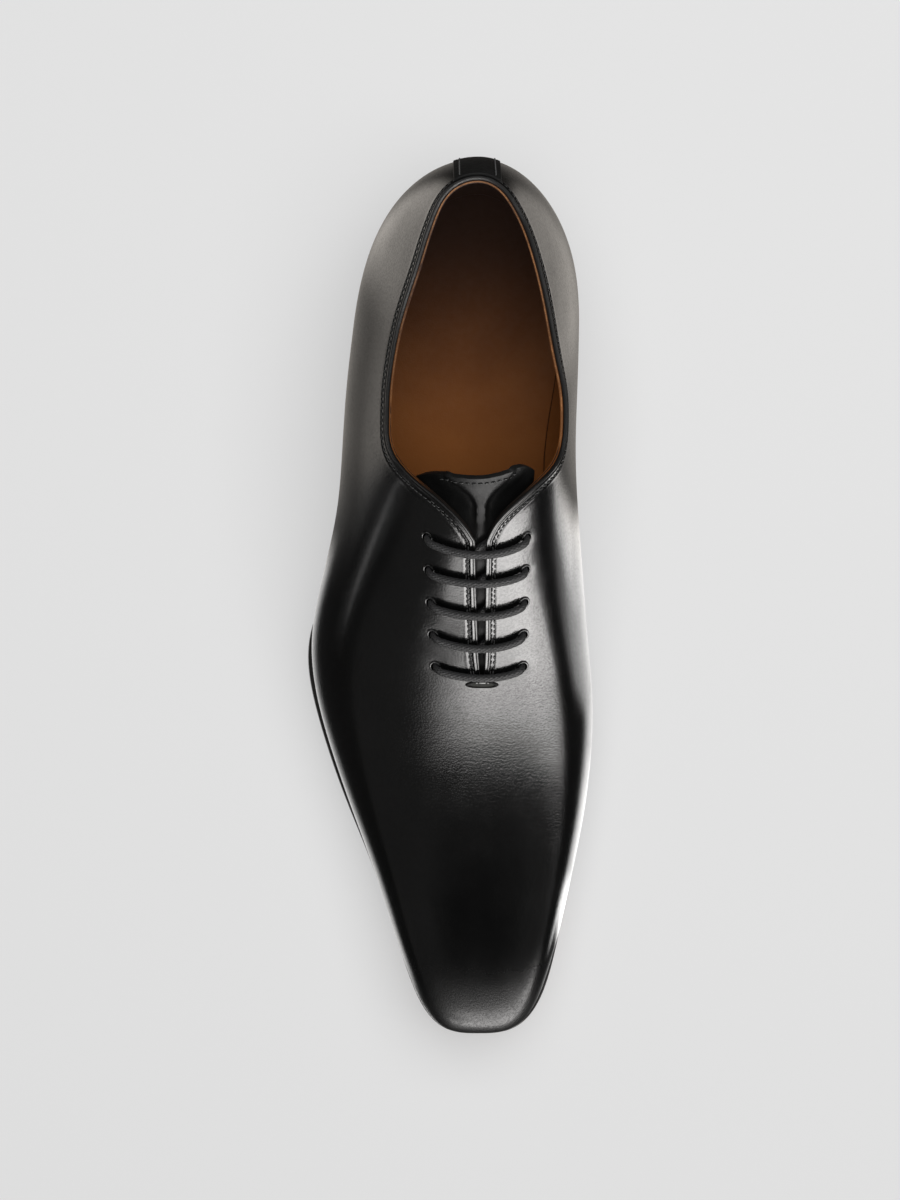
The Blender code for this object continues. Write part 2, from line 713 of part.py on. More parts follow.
def heel_grid(inset, height):
    """A grid over the heel's outline, with a hollow breast at the front."""
    walk = np.concatenate([np.linspace(0, 1, 11)[:-1], walk_at(np.linspace(HEEL_ROUND, HEEL_LENGTH, 3))])
    grid = outline_grid(walk, inset, lambda along: 0 * along, columns=7)
    along = LENGTH / 2 - grid[..., 1]
    t = np.linspace(-1, 1, 7)
    along = along - BREAST_HOLLOW * (1 - t**2) * blend(along, HEEL_LENGTH / 2, HEEL_LENGTH)
    return world(grid[..., 0], along, height(along))


def make_heel():
    def lift_top(along):
        return TOP_LIFT_THICKNESS + 0 * along

    def floor(along):
        return 0 * along

    levels = [heel_grid(HEEL_TAPER, floor), heel_grid(HEEL_TAPER, lift_top)]
    rounded(layered_solid("top_lift", levels, (TOP_RUBBER,)), EDGE_ROUND / 2, 1)

    levels = []
    groove = LIFT_GROOVE / (HEEL_HEIGHT - TOP_LIFT_THICKNESS)
    for number in range(LIFT_COUNT):
        for share, deep in ((0, 1), (groove, 0), (1 / LIFT_COUNT - groove, 0)):
            up = number / LIFT_COUNT + share
            if number == 0 and deep:
                continue

            def height(along, up=up):
                bottom = TOP_LIFT_THICKNESS + GAP
                return bottom + (underside(along) - GAP - bottom) * up

            levels.append(heel_grid(HEEL_TAPER * (1 - up) + LIFT_GROOVE * deep, height))
    layered_solid("heel_stack", levels, (BLACK_LEATHER,))


def centre_on_origin():
    """Moves the parent so that the bounding box of all pieces is centred over the origin."""
    bpy.context.view_layer.update()
    graph = bpy.context.evaluated_depsgraph_get()
    points = []
    for obj in shoe.objects:
        if obj != origin:
            evaluated = obj.evaluated_get(graph)
            points += [vertex.co.copy() for vertex in evaluated.to_mesh().vertices]
            evaluated.to_mesh_clear()
    low, high = np.min(points, axis=0), np.max(points, axis=0)
    origin.location = (-(low[0] + high[0]) / 2, -(low[1] + high[1]) / 2, 0)


SLIT_END = SLIT_START + SLIT_LENGTH

for old in list(bpy.data.objects):
    bpy.data.objects.remove(old)

shoe = bpy.data.collections.new("whole_cut_oxford")
helpers = bpy.data.collections.new("cutters")
bpy.context.scene.collection.children.link(shoe)
bpy.context.scene.collection.children.link(helpers)
origin = bpy.data.objects.new("shoe_origin", None)
shoe.objects.link(origin)

make_upper()
make_tongue()
make_lace()
make_heel_tab()
make_sole()
make_heel()
centre_on_origin()
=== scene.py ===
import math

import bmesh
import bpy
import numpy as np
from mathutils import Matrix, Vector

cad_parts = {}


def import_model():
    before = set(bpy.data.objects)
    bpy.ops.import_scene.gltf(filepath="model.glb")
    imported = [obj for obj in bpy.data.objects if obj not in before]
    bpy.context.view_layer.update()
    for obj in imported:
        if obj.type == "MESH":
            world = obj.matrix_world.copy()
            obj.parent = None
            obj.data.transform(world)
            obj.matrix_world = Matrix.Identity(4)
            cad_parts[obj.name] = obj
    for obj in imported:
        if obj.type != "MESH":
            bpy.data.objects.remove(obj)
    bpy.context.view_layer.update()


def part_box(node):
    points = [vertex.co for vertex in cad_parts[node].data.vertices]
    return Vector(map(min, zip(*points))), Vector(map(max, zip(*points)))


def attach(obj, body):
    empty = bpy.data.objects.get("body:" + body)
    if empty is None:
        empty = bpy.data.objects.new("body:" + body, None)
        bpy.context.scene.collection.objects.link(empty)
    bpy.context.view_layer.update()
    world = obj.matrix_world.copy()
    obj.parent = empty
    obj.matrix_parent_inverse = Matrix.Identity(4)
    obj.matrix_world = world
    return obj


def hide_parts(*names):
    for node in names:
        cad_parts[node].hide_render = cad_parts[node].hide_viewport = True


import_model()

# Looks of a whole cut oxford for the right foot: polished black calf over a brown lining, closed by a
# waxed cord. Every piece is worked out from the same last as the CAD solids. The toe points towards -Y
# and the inner (medial) side towards +X. "walk" goes from the back of the heel (0), past the end of the
# heel curve (1) and the start of the toe curve (2), to the tip of the toe (3). "reach" goes across the
# shoe: 0 on the crest line, 1 on the widest line and 2 at the sole, negative on the lateral side.

# Sizes of the last and the pieces, in metres, as the CAD has them
LENGTH = 0.310
BALL_WIDTH = 0.100
CONE_HEIGHT = 0.085
HEEL_ROUND = 0.060
TOE_ROUND = 0.040
HEEL_CENTRE = 0.040
VAMP_SPREAD = 0.30
WALL = 0.0022
BAND_WIDTH = 0.0030
BAND_RISE = 0.0005
SLIT_START = 0.135
SLIT_LENGTH = 0.0485
SLIT_END = SLIT_START + SLIT_LENGTH
SLIT_TOP_GAP = 0.0036
SLIT_END_GAP = 0.0017
TAB_WIDTH = 0.0145
TAB_LENGTH = 0.024
TAB_THICKNESS = 0.0011
OUTSOLE_THICKNESS = 0.005
SOLE_LEDGE = 0.0022
HEEL_HEIGHT = 0.025
TOE_SPRING = 0.0115
HEEL_LENGTH = 0.072
HEEL_TAPER = 0.0022
BREAST_HOLLOW = 0.003
TOP_LIFT_THICKNESS = 0.006
LIFT_COUNT = 4
INSOLE_THICKNESS = 0.0035
LACE_DIAMETER = 0.0024
EYELET_COUNT = 5
EYELET_PITCH = 0.0112
EYELET_LEAD = 0.0014
EYELET_SPREAD = 0.0344
EYELET_TAPER = 0.0038
LACE_CLEARANCE = 0.0008
LACE_BEND = 0.0024
LACE_SAGS = (0.0046, 0.0034, 0.0035, 0.0036, 0.0029)
LACE_SIDE = 0.0036
TONGUE_THICKNESS = 0.0022
TONGUE_LAP = 0.014
TONGUE_RISE = 0.025
TONGUE_DIP = 0.004
GAP = 0.0003

# Sizes that only the looks have
LEATHER = 0.0012  # the calf's depth below the last's outside; the lining fills the rest of the wall
ROLL = 0.0006  # how far the turned edge rolls out past its first column
STITCH_IN = 0.0034  # from the open edge to the row of stitches
SLIT_MIDDLE = 0.0012  # how far to the medial side the slit's middle lies
STITCH_PITCH = 0.0021
STITCH_LENGTH = 0.0016
THREAD = 0.00024
SECOND_ROW = 0.0009  # from that row outward to the one beside the slit
HOLE = 0.0015
LIP_OUT = 0.00026  # from the hole's edge to the middle of the lip round it
LIP_RISE = 0.00006
LIP_RADIUS = 0.0004
LACING_ROWS = 0.128  # from here to the end of the slit the rows of the surfaces lie closer
TAB_IN = 0.0013  # from the open edge to the tab's top
LACE_FULL = 0.00283  # the braid's full thickness, a little over the CAD's plain cord

# Camera: this high over the last's axis, with this much of the floor from top to bottom of the picture
CAMERA_HEIGHT = 1.6
PICTURE_HEIGHT = 0.43557

# Outline from above: share of length, lateral and medial half width as shares of the ball width
OUTLINE = (
    (0.00, 0.400, 0.340),
    (0.12, 0.418, 0.356),
    (0.19, 0.441, 0.356),
    (0.26, 0.465, 0.350),
    (0.33, 0.480, 0.344),
    (0.40, 0.502, 0.354),
    (0.46, 0.545, 0.370),
    (0.52, 0.588, 0.386),
    (0.56, 0.598, 0.397),
    (0.61, 0.581, 0.410),
    (0.67, 0.532, 0.408),
    (0.74, 0.458, 0.384),
    (0.81, 0.378, 0.342),
    (0.87, 0.316, 0.300),
    (0.93, 0.265, 0.262),
    (1.00, 0.238, 0.246),
)

# Edge of the sole against that outline: share of length, lateral and medial shares of the ball width
SOLE_EDGE = (
    (0.00, -0.025, -0.025),
    (0.12, -0.030, -0.030),
    (0.24, -0.060, -0.070),
    (0.36, -0.090, -0.135),
    (0.46, -0.045, -0.100),
    (0.54, 0.012, -0.045),
    (0.62, 0.018, -0.015),
    (0.72, 0.014, -0.008),
    (0.80, 0.006, -0.004),
    (0.88, 0.004, 0.004),
    (0.95, 0.007, 0.013),
    (1.00, 0.010, 0.010),
)

# Crest: share of length, place across as a share of the ball width, height above the sole and height of
# the widest line above the sole, both as shares of the cone's height
CREST = (
    (0.00, 0.020, 1.000, 0.165),
    (0.19, 0.022, 1.030, 0.175),
    (0.28, 0.018, 1.040, 0.215),
    (0.35, 0.012, 1.010, 0.245),
    (0.42, 0.009, 0.940, 0.220),
    (0.50, 0.009, 0.815, 0.155),
    (0.56, 0.012, 0.712, 0.120),
    (0.62, 0.016, 0.608, 0.100),
    (0.70, 0.018, 0.495, 0.088),
    (0.78, 0.014, 0.408, 0.080),
    (0.86, 0.008, 0.350, 0.075),
    (0.93, 0.004, 0.312, 0.070),
    (1.00, 0.002, 0.270, 0.065),
)

# Fullness of the sections, where 0.707 is half an ellipse: share of length, lateral, medial
FULLNESS = (
    (0.000, 0.703, 0.703),
    (0.035, 0.637, 0.618),
    (0.090, 0.597, 0.587),
    (0.135, 0.597, 0.597),
    (0.190, 0.608, 0.613),
    (0.240, 0.618, 0.650),
    (0.270, 0.623, 0.690),
    (0.300, 0.631, 0.713),
    (0.360, 0.655, 0.708),
    (0.450, 0.680, 0.700),
    (0.550, 0.705, 0.715),
    (0.700, 0.740, 0.740),
    (0.850, 0.770, 0.775),
    (1.000, 0.790, 0.790),
)

# Topline: share of length, how far out it lies from the crest on each side, as shares of the half width
TOPLINE = (
    (0.000, 0.735, 0.735),
    (0.020, 0.655, 0.623),
    (0.050, 0.580, 0.538),
    (0.090, 0.557, 0.515),
    (0.135, 0.583, 0.550),
    (0.190, 0.662, 0.637),
    (0.235, 0.700, 0.728),
    (0.270, 0.711, 0.812),
    (0.302, 0.706, 0.838),
    (0.332, 0.676, 0.805),
    (0.353, 0.590, 0.695),
    (0.370, 0.480, 0.533),
    (0.387, 0.345, 0.361),
    (0.401, 0.240, 0.225),
    (0.417, 0.130, 0.112),
)

# Underside of the outsole: share of length, height as a share of the heel height or of the toe spring
TREAD_BACK = 0.60
TREAD_FRONT = 0.68
HEEL_RISE = (
    (0.000, 1.000),
    (0.120, 0.962),
    (0.235, 0.905),
    (0.330, 0.735),
    (0.430, 0.400),
    (0.520, 0.110),
    (TREAD_BACK, 0.0),
)
TOE_RISE = (
    (TREAD_FRONT, 0.0),
    (0.780, 0.170),
    (0.880, 0.480),
    (1.000, 1.000),
)

# Tongue: share of its length from the free end, half width as a share of the distance crest to widest line
TONGUE_WIDTH = (
    (0.00, 0.640),
    (0.10, 0.660),
    (0.30, 0.600),
    (0.65, 0.480),
    (1.00, 0.400),
)

HEEL_BLUNT = 2.5
TOE_BLUNT = 2.4
TOE_SQUARE = 3.2
TOE_NOSE = 3.6


def smooth_curve(rows, column, at, flat_start=False, flat_end=False):
    """Cubic spline through one column of a table, natural at its ends or level there."""
    x = np.array([row[0] for row in rows], float)
    y = np.array([row[column] for row in rows], float)
    step = np.diff(x)
    slope = np.diff(y) / step
    matrix = np.zeros((len(x), len(x)))
    right = np.zeros(len(x))
    matrix[0, 0] = matrix[-1, -1] = 1
    if flat_start:
        matrix[0, :2] = 2 * step[0], step[0]
        right[0] = 6 * slope[0]
    if flat_end:
        matrix[-1, -2:] = step[-1], 2 * step[-1]
        right[-1] = -6 * slope[-1]
    for i in range(1, len(x) - 1):
        matrix[i, i - 1 : i + 2] = step[i - 1], 2 * (step[i - 1] + step[i]), step[i]
        right[i] = 6 * (slope[i] - slope[i - 1])
    bend = np.linalg.solve(matrix, right)
    at = np.clip(at, x[0], x[-1])
    i = np.clip(np.searchsorted(x, at) - 1, 0, len(x) - 2)
    after, before, width = at - x[i], x[i + 1] - at, step[i]
    cubic = (bend[i] * before**3 + bend[i + 1] * after**3) / (6 * width)
    return (
        cubic
        + (y[i] / width - bend[i] * width / 6) * before
        + (y[i + 1] / width - bend[i + 1] * width / 6) * after
    )


def power(base, exponent):
    return np.clip(base, 0, None) ** exponent


def unit(vectors):
    return vectors / np.linalg.norm(vectors, axis=-1, keepdims=True)


def bell(value, centre, width):
    """1 at the centre, and exp(-1) of that one width away from it."""
    return np.exp(-(((value - centre) / width) ** 2))


def circle(count):
    """Angles at even steps once round."""
    return np.linspace(0, 2 * math.pi, count + 1)[:-1]


def distance_along(points):
    """Distance along a line of points, from 0 at its first."""
    return np.concatenate([[0], np.cumsum(np.linalg.norm(np.diff(points, axis=0), axis=1))])


def corners(grid):
    """The four corners of each cell between neighbouring rows and columns, in turn round the cell."""
    return grid[:-1, :-1], grid[1:, :-1], grid[1:, 1:], grid[:-1, 1:]


def quads(numbers):
    return np.stack(corners(numbers), axis=-1).reshape(-1, 4)


def closed_round(grid):
    """The grid with its first column once more after its last."""
    return np.concatenate([grid, grid[:, :1]], axis=1)


def underside(along):
    """Height of the outsole's underside: down from the heel, flat at the tread, up at the toe."""
    share = along / LENGTH
    heel = smooth_curve(HEEL_RISE, 1, np.minimum(share, TREAD_BACK), flat_end=True)
    toe = smooth_curve(TOE_RISE, 1, np.maximum(share, TREAD_FRONT), flat_start=True)
    return heel * HEEL_HEIGHT + toe * TOE_SPRING


def sole_top(along):
    return underside(along) + OUTSOLE_THICKNESS


def stations(walk):
    """Distance along the shoe, share of the full width, share of the full height and the heel's turn."""
    heel = np.clip(walk, 0, 1) * math.pi / 2
    toe = np.clip(3 - walk, 0, 1) * math.pi / 2
    heel_turn = power(np.cos(heel), 2 / HEEL_BLUNT)
    toe_turn = power(np.cos(toe), 2 / TOE_BLUNT)
    straight = LENGTH - HEEL_ROUND - TOE_ROUND
    along = (
        HEEL_ROUND * (1 - heel_turn)
        + straight * np.clip(walk - 1, 0, 1)
        + TOE_ROUND * toe_turn
    )
    width = np.sin(heel) * power(np.sin(toe), 2 / TOE_SQUARE)
    height = power(np.sin(toe), 2 / TOE_NOSE)
    return along, width, height, heel_turn


def walk_at(along):
    """The walk of a station on the straight stretch between heel curve and toe curve."""
    return 1 + (along - HEEL_ROUND) / (LENGTH - HEEL_ROUND - TOE_ROUND)


def outline(walk, side, outward=0.0):
    """Plan of the widest line, moved outward square to itself: place across and along the shoe."""
    column = 1 if side < 0 else 2
    walk = np.clip(walk, 0, 3)
    nudge = 1e-5
    ends = []
    for w in (np.clip(walk - nudge, 0, 3), np.clip(walk + nudge, 0, 3), walk):
        along, width, _, _ = stations(w)
        half = smooth_curve(OUTLINE, column, along / LENGTH) * BALL_WIDTH * width
        ends.append((side * half, along))
    run_x, run_y = ends[1][0] - ends[0][0], ends[1][1] - ends[0][1]
    long = np.hypot(run_x, run_y)
    x, along = ends[2]
    return x + side * outward * run_y / long, along - side * outward * run_x / long


def sole_outline(walk, side, inset=0.0):
    along = stations(walk)[0]
    column = 1 if side < 0 else 2
    edge = smooth_curve(SOLE_EDGE, column, along / LENGTH) * BALL_WIDTH
    return outline(walk, side, edge - inset)


def arch(rise, fullness):
    """Half a section: out from the crest and up from the widest line, for a rise from 0 to 1."""
    shoulder = ((0.0, 0.0), (0.5, 1.0), (1.0, 0.0))
    ends = ((0.0, 1.0, 0.0), (0.5, 0.0, 0.0), (1.0, 0.0, 1.0))
    out = smooth_curve(ends, 1, rise, flat_start=True)
    out = out + fullness * smooth_curve(shoulder, 1, rise, flat_start=True)
    high = smooth_curve(ends, 2, rise, flat_end=True)
    high = high + fullness * smooth_curve(shoulder, 1, rise, flat_end=True)
    return out, high


def last_point(walk, reach):
    """The outside of the upper, as an array of points."""
    walk, reach = np.broadcast_arrays(np.asarray(walk, float), np.asarray(reach, float))
    along, width, height, heel_turn = stations(walk)
    share = along / LENGTH
    lateral, medial = (smooth_curve(OUTLINE, c, share) * BALL_WIDTH * width for c in (1, 2))
    crest_x = smooth_curve(CREST, 1, share) * BALL_WIDTH * width
    wide_z = sole_top(along) + smooth_curve(CREST, 3, share) * CONE_HEIGHT
    crest_z = smooth_curve(CREST, 2, share) - smooth_curve(CREST, 3, share)
    crest_z = wide_z + crest_z * CONE_HEIGHT * height
    side = np.where(reach < 0, -1.0, 1.0)
    fullness = [smooth_curve(FULLNESS, c, share) for c in (1, 2)]
    rise = 1 - np.clip(np.abs(reach), 0, 1)
    out, high = arch(rise, np.where(reach < 0, *fullness))
    signed = side * out
    x = crest_x + (medial + lateral) / 2 * signed
    x = x + ((medial - lateral) / 2 - crest_x) * signed**2
    turn_at = along + HEEL_CENTRE * power(heel_turn, HEEL_BLUNT)
    y = turn_at + out * (along - turn_at)
    z = wide_z + (crest_z - wide_z) * high

    drop = np.clip(np.abs(reach) - 1, 0, 1)
    foot = [sole_outline(walk, s, SOLE_LEDGE) for s in (-1, 1)]
    foot_x = np.where(reach < 0, foot[0][0], foot[1][0])
    foot_y = np.where(reach < 0, foot[0][1], foot[1][1])
    x = x + (foot_x - x) * drop**2
    y = y + (foot_y - y) * drop**2
    z = z + (sole_top(foot_y) + GAP - z) * drop
    return world(x, y, z)


def world(x, along, z):
    return np.stack(np.broadcast_arrays(x, LENGTH / 2 - along, z), axis=-1)


def last_normal(walk, reach):
    """Outward unit normal of the last, from small steps along its two directions."""
    nudge = 1e-3
    ahead = last_point(walk + nudge, reach) - last_point(walk - nudge, reach)
    across = last_point(walk, reach + nudge) - last_point(walk, reach - nudge)
    return unit(np.cross(ahead, across))


def half_at(along):
    """Mean of the lateral and medial half widths."""
    lateral, medial = (smooth_curve(OUTLINE, column, along / LENGTH) for column in (1, 2))
    return (lateral + medial) / 2 * BALL_WIDTH


def reach_of(walk, side, out):
    """Reach at which the section lies that share of its half width out from the crest, found by halving."""
    walk, side, out = np.broadcast_arrays(*(np.asarray(v, float) for v in (walk, side, out)))
    share = stations(walk)[0] / LENGTH
    fullness = np.where(side < 0, smooth_curve(FULLNESS, 1, share), smooth_curve(FULLNESS, 2, share))
    low, high = np.zeros(out.shape), np.ones(out.shape)
    for _ in range(40):
        middle = (low + high) / 2
        short = arch(1 - middle, fullness)[0] < out
        low, high = np.where(short, middle, low), np.where(short, high, middle)
    return middle


def open_edge(walk, side):
    """Reach of the upper's open edge: the collar, then the slit, then a fanning row over the vamp."""
    along = stations(walk)[0]
    top = (SLIT_START / LENGTH,) + (SLIT_TOP_GAP / 2 / half_at(SLIT_START),) * 2
    rows = TOPLINE + (top,)
    collar = smooth_curve(rows, 1 if side < 0 else 2, along / LENGTH)
    down = np.clip((along - SLIT_START) / SLIT_LENGTH, 0, 1)
    past = np.clip((along - SLIT_END) / (LENGTH - SLIT_END), 0, 1)
    gap = SLIT_TOP_GAP + (SLIT_END_GAP - SLIT_TOP_GAP) * down
    gap = gap - 0.0012 * blend(along, SLIT_END - 0.010, SLIT_END)
    slit = gap / 2 / half_at(along) + VAMP_SPREAD * past**1.5
    return reach_of(walk, side, np.where(along < SLIT_START, collar, slit))


def in_from_edge(walk, side, edge, width):
    """Reach that lies this far in from the upper's edge, square to it."""
    line = last_point(walk, side * edge)
    run = unit(np.gradient(line, axis=0))
    nudge = 0.02
    across = (last_point(walk, side * (edge + nudge)) - line) / nudge
    square = np.linalg.norm(np.cross(across, run), axis=1)
    return edge + width / np.maximum(square, 0.35 * half_at(0.3 * LENGTH))


def blend(value, start, end):
    """0 up to start, 1 from end on, and smooth between."""
    t = np.clip((value - start) / (end - start), 0, 1)
    return t * t * (3 - 2 * t)


def eyelet(number):
    """Distance along the shoe and share of the half width of one pair of eyelets."""
    along = SLIT_START - EYELET_LEAD + number * EYELET_PITCH
    spread = EYELET_SPREAD - EYELET_TAPER * number / max(EYELET_COUNT - 1, 1)
    return along, spread / 2 / half_at(along)


def reach_at(along, out):
    """Walk and signed reach of a place: distance along the shoe, signed share of the half width across."""
    walk = walk_at(along)
    return walk, np.sign(out) * reach_of(walk, np.sign(out), np.abs(out))


def lifted(along, out, height):
    """Points this high above the last, on the straight stretch between heel curve and toe curve."""
    along, out, height = np.broadcast_arrays(*np.atleast_1d(along, out, height))
    walk, reach = reach_at(along, out)
    return last_point(walk, reach) + last_normal(walk, reach) * height[..., None]


class Link:
    """One output in a finish. The usual operators add Math nodes, so that a mask reads as a sum."""

    def __init__(self, finish, output):
        self.finish = finish
        self.output = output

    def maths(self, operation, *values):
        return self.finish.node("Math", {"operation": operation}, dict(enumerate(values)))

    def __add__(self, other):
        return self.maths("ADD", self, other)

    def __sub__(self, other):
        return self.maths("SUBTRACT", self, other)

    def __rsub__(self, other):
        return self.maths("SUBTRACT", other, self)

    def __mul__(self, other):
        return self.maths("MULTIPLY", self, other)

    def __truediv__(self, other):
        return self.maths("DIVIDE", self, other)

    def __pow__(self, other):
        return self.maths("POWER", self, other)

    __radd__ = __add__
    __rmul__ = __mul__

    def smooth(self, start, end, low=0.0, high=1.0):
        """Goes softly from low at start to high at end."""
        settings = {"interpolation_type": "SMOOTHSTEP"}
        sockets = {"Value": self, "From Min": start, "From Max": end, "To Min": low, "To Max": high}
        return self.finish.node("MapRange", settings, sockets)

    def wave(self):
        return self.maths("SINE", self)


class Finish:
    """The nodes of one material or of the studio's light."""

    def __init__(self, name, light=None):
        self.data = light or bpy.data.materials.new(name)
        self.data.use_nodes = True
        self.tree = self.data.node_tree
        self.tree.nodes.clear()
        self.place = self.coordinates("Generated" if light else "Object")

    def node(self, kind, settings=None, sockets=None, out=0):
        """Adds a node, sets its settings, then the values or links of its sockets."""
        made = self.tree.nodes.new("ShaderNode" + kind)
        for name, value in (settings or {}).items():
            setattr(made, name, value)
        for name, value in (sockets or {}).items():
            socket = made.inputs[name]
            if isinstance(value, Link):
                self.tree.links.new(value.output, socket)
            elif isinstance(value, tuple) and len(socket.default_value) == 4:
                socket.default_value = (*value, 1)
            else:
                socket.default_value = value
        return Link(self, made.outputs[out])

    def coordinates(self, kind):
        return self.node("TexCoord", out=kind)

    def axes(self, place=None):
        parts = self.node("SeparateXYZ", None, {0: place or self.place}).output.node
        return [Link(self, output) for output in parts.outputs]

    def noise(self, scale, detail=3.0, roughness=0.5, stretch=None):
        """Cloudy noise at this many to the metre, with each axis times its own number if stretched."""
        place = self.place
        if stretch:
            place = self.node("VectorMath", {"operation": "MULTIPLY"}, {0: place, 1: stretch})
        sockets = {"Vector": place, "Scale": scale, "Detail": detail, "Roughness": roughness}
        return self.node("TexNoise", None, sockets)

    def cells(self, scale):
        return self.node("TexVoronoi", None, {"Vector": self.place, "Scale": scale})

    def mark(self):
        """The number that a piece's mesh holds at each point, to tell its cut edges from its faces."""
        return self.node("Attribute", {"attribute_name": "mark"}, out=2)

    def mix(self, low, high, factor):
        """A colour between low and high."""
        return self.node("Mix", {"data_type": "RGBA"}, {0: factor, 6: low, 7: high}, out=2)

    def bump(self, height, distance, strength=1.0, normal=None):
        sockets = {"Height": height, "Distance": distance, "Strength": strength}
        if normal is not None:
            sockets["Normal"] = normal
        return self.node("Bump", None, sockets)

    def surface(self, **sockets):
        """Ends the material in one glossy surface; socket names have _ for a space."""
        named = {name.replace("_", " "): value for name, value in sockets.items()}
        return self.end_in(self.node("BsdfPrincipled", None, named))

    def end_in(self, shader, kind="Material"):
        end = self.tree.nodes.new("ShaderNodeOutput" + kind)
        self.tree.links.new(shader.output, end.inputs["Surface"])
        return self.data


def polished_calf():
    """Black box calf with a wax polish: a fine tight grain, faint rubbed patches and a clear gloss.

    Fine folds cross the vamp where it flexes, and the toe's tip and the rolled edge are less glossy.
    """
    f = Finish("polished_calf")
    pores = f.cells(1500.0)
    fine = f.noise(1300.0, 3.0, 0.65)
    speckle = fine.smooth(0.44, 0.60)
    folds = f.noise(1300.0, 3.0, 0.6, stretch=(0.18, 1.0, 0.5))
    along = f.axes()[1]
    flexed = along.smooth(-0.018, -0.032) * along.smooth(-0.090, -0.062)
    broad = f.noise(38.0, 3.0)
    rubbed = f.noise(130.0, 4.0, 0.6, stretch=(1.0, 0.55, 1.0))
    colour = f.mix((0.0012, 0.0013, 0.0013), (0.0026, 0.0026, 0.0026), broad.smooth(0.35, 0.7))
    grain = f.bump(pores * 0.5 + fine * 0.5 + folds * flexed * 0.5, 0.00012, 0.6)
    swell = f.bump(broad, 0.0016, 0.07, grain)
    tip = along.smooth(-0.122, -0.146)
    fold = f.mark().smooth(0.3, 0.9)
    return f.surface(
        Base_Color=colour,
        Roughness=0.16 + 0.06 * rubbed.smooth(0.3, 0.75) + 0.27 * tip + 0.40 * fold,
        Specular_IOR_Level=0.5,
        Coat_Weight=0.74 - 0.28 * speckle - 0.15 * rubbed.smooth(0.45, 0.8) - 0.44 * tip - 0.45 * fold,
        Coat_Roughness=0.13,
        Coat_IOR=1.5,
        Normal=swell,
    )


def soft_black():
    """The tongue's and tab's calf: the same hide, less polished, with its grain more open."""
    f = Finish("soft_black_calf")
    pores = f.cells(1900.0)
    fine = f.noise(700.0, 4.0, 0.6)
    broad = f.noise(60.0, 3.0)
    colour = f.mix((0.0045, 0.0045, 0.0045), (0.0110, 0.0110, 0.0108), broad.smooth(0.35, 0.7))
    return f.surface(
        Base_Color=colour,
        Roughness=0.42 + 0.12 * fine.smooth(0.3, 0.7),
        Specular_IOR_Level=0.19,
        Coat_Weight=0.10,
        Coat_Roughness=0.25,
        Normal=f.bump(pores * 0.6 + fine * 0.4, 0.00012, 0.5),
    )


# How far round from the widest line (1) to the sole (2) the sock comes up the wall
SOCK_REACH = 1.80


def brown_lining():
    """Vegetable tanned lining: matte, with small pores, and loose fibres at its cut edge. Painted shade
    darkens it towards the heel and under the vamp, and darkens the cut edge on the lateral side. On the
    wall the mark is the reach with a minus, which places a painted shadow line along the seam above the
    sock.
    """
    f = Finish("brown_lining")
    pores = f.cells(1500.0)
    fine = f.noise(420.0, 4.0, 0.6)
    broad = f.noise(30.0, 3.0)
    fibre = f.noise(2200.0, 5.0, 0.7)
    aside, along, _ = f.axes()
    worn = f.noise(170.0, 3.0, 0.6).smooth(0.42, 0.62)
    warm = f.mix((0.158, 0.051, 0.0108), (0.210, 0.072, 0.0168), broad.smooth(0.3, 0.7))
    # Painted shade: the hide darkens towards the heel, where the back wall shades the inside.
    hide = f.mix(warm, (0.025, 0.0098, 0.0048), along.smooth(0.02, 0.135))
    mark = f.mark()
    # Painted shadow: a thin dark line on the wall just above the sock, where the sock meets it.
    low = 0.0 - mark
    seam = low.smooth(SOCK_REACH - 0.024, SOCK_REACH - 0.010)
    seam = seam * low.smooth(SOCK_REACH + 0.004, SOCK_REACH - 0.010)
    hide = f.mix(hide, (0.006, 0.003, 0.002), seam)
    # Painted shade: forward of the throat, under the vamp, the upper part of the lining and the sock go near
    # black.
    hide = f.mix(hide, (0.010, 0.0055, 0.0035), along.smooth(0.046, 0.036) * low.smooth(1.5, 0.5))
    raw = f.mix((0.16, 0.062, 0.020), (0.42, 0.20, 0.080), fibre.smooth(0.3, 0.7))
    # Real wear in noisy patches, plus painted shade on the cut edge along the lateral side.
    wear_and_painted_shade = 0.5 * worn + 0.5 * aside.smooth(0.010, 0.0) * along.smooth(0.132, 0.116)
    edge = f.mix(raw, (0.030, 0.013, 0.006), wear_and_painted_shade)
    edge = f.mix(edge, (0.006, 0.005, 0.0045), along.smooth(0.060, 0.050))
    cut = mark.smooth(0.15, 0.75)
    return f.surface(
        Base_Color=f.mix(hide, edge, cut),
        Roughness=0.55 + 0.12 * fine.smooth(0.3, 0.7) + 0.15 * cut,
        Specular_IOR_Level=0.22,
        Normal=f.bump(pores * 0.4 + fine * 0.6 + fibre * cut, 0.00012, 0.45),
    )


STRANDS = 8


def waxed_cord():
    """Braided cotton with wax in it: a fine herringbone of strands along the cord."""
    f = Finish("waxed_cord")
    across, along, _ = f.axes(f.coordinates("UV"))
    around, onward = across * (STRANDS * 2 * math.pi), along * (2 * math.pi)
    one, other = (around + onward).wave(), (around - onward).wave()
    braid = one.maths("MAXIMUM", one, other)
    fuzz = f.noise(3000.0, 4.0)
    colour = f.mix((0.006, 0.006, 0.006), (0.020, 0.020, 0.021), braid.smooth(-0.2, 1.0))
    return f.surface(
        Base_Color=colour,
        Roughness=0.46 + 0.14 * fuzz,
        Specular_IOR_Level=0.5,
        Normal=f.bump(braid + fuzz * 0.4, 0.00012, 0.8),
    )


def twisted_thread(name, low, high, rough):
    """Twisted polyester thread, between two greys."""
    f = Finish(name)
    twist = f.noise(5000.0, 2.0)
    colour = f.mix((low, low, low), (high, high, high), twist)
    return f.surface(Base_Color=colour, Roughness=rough, Normal=f.bump(twist, 0.0001, 0.5))


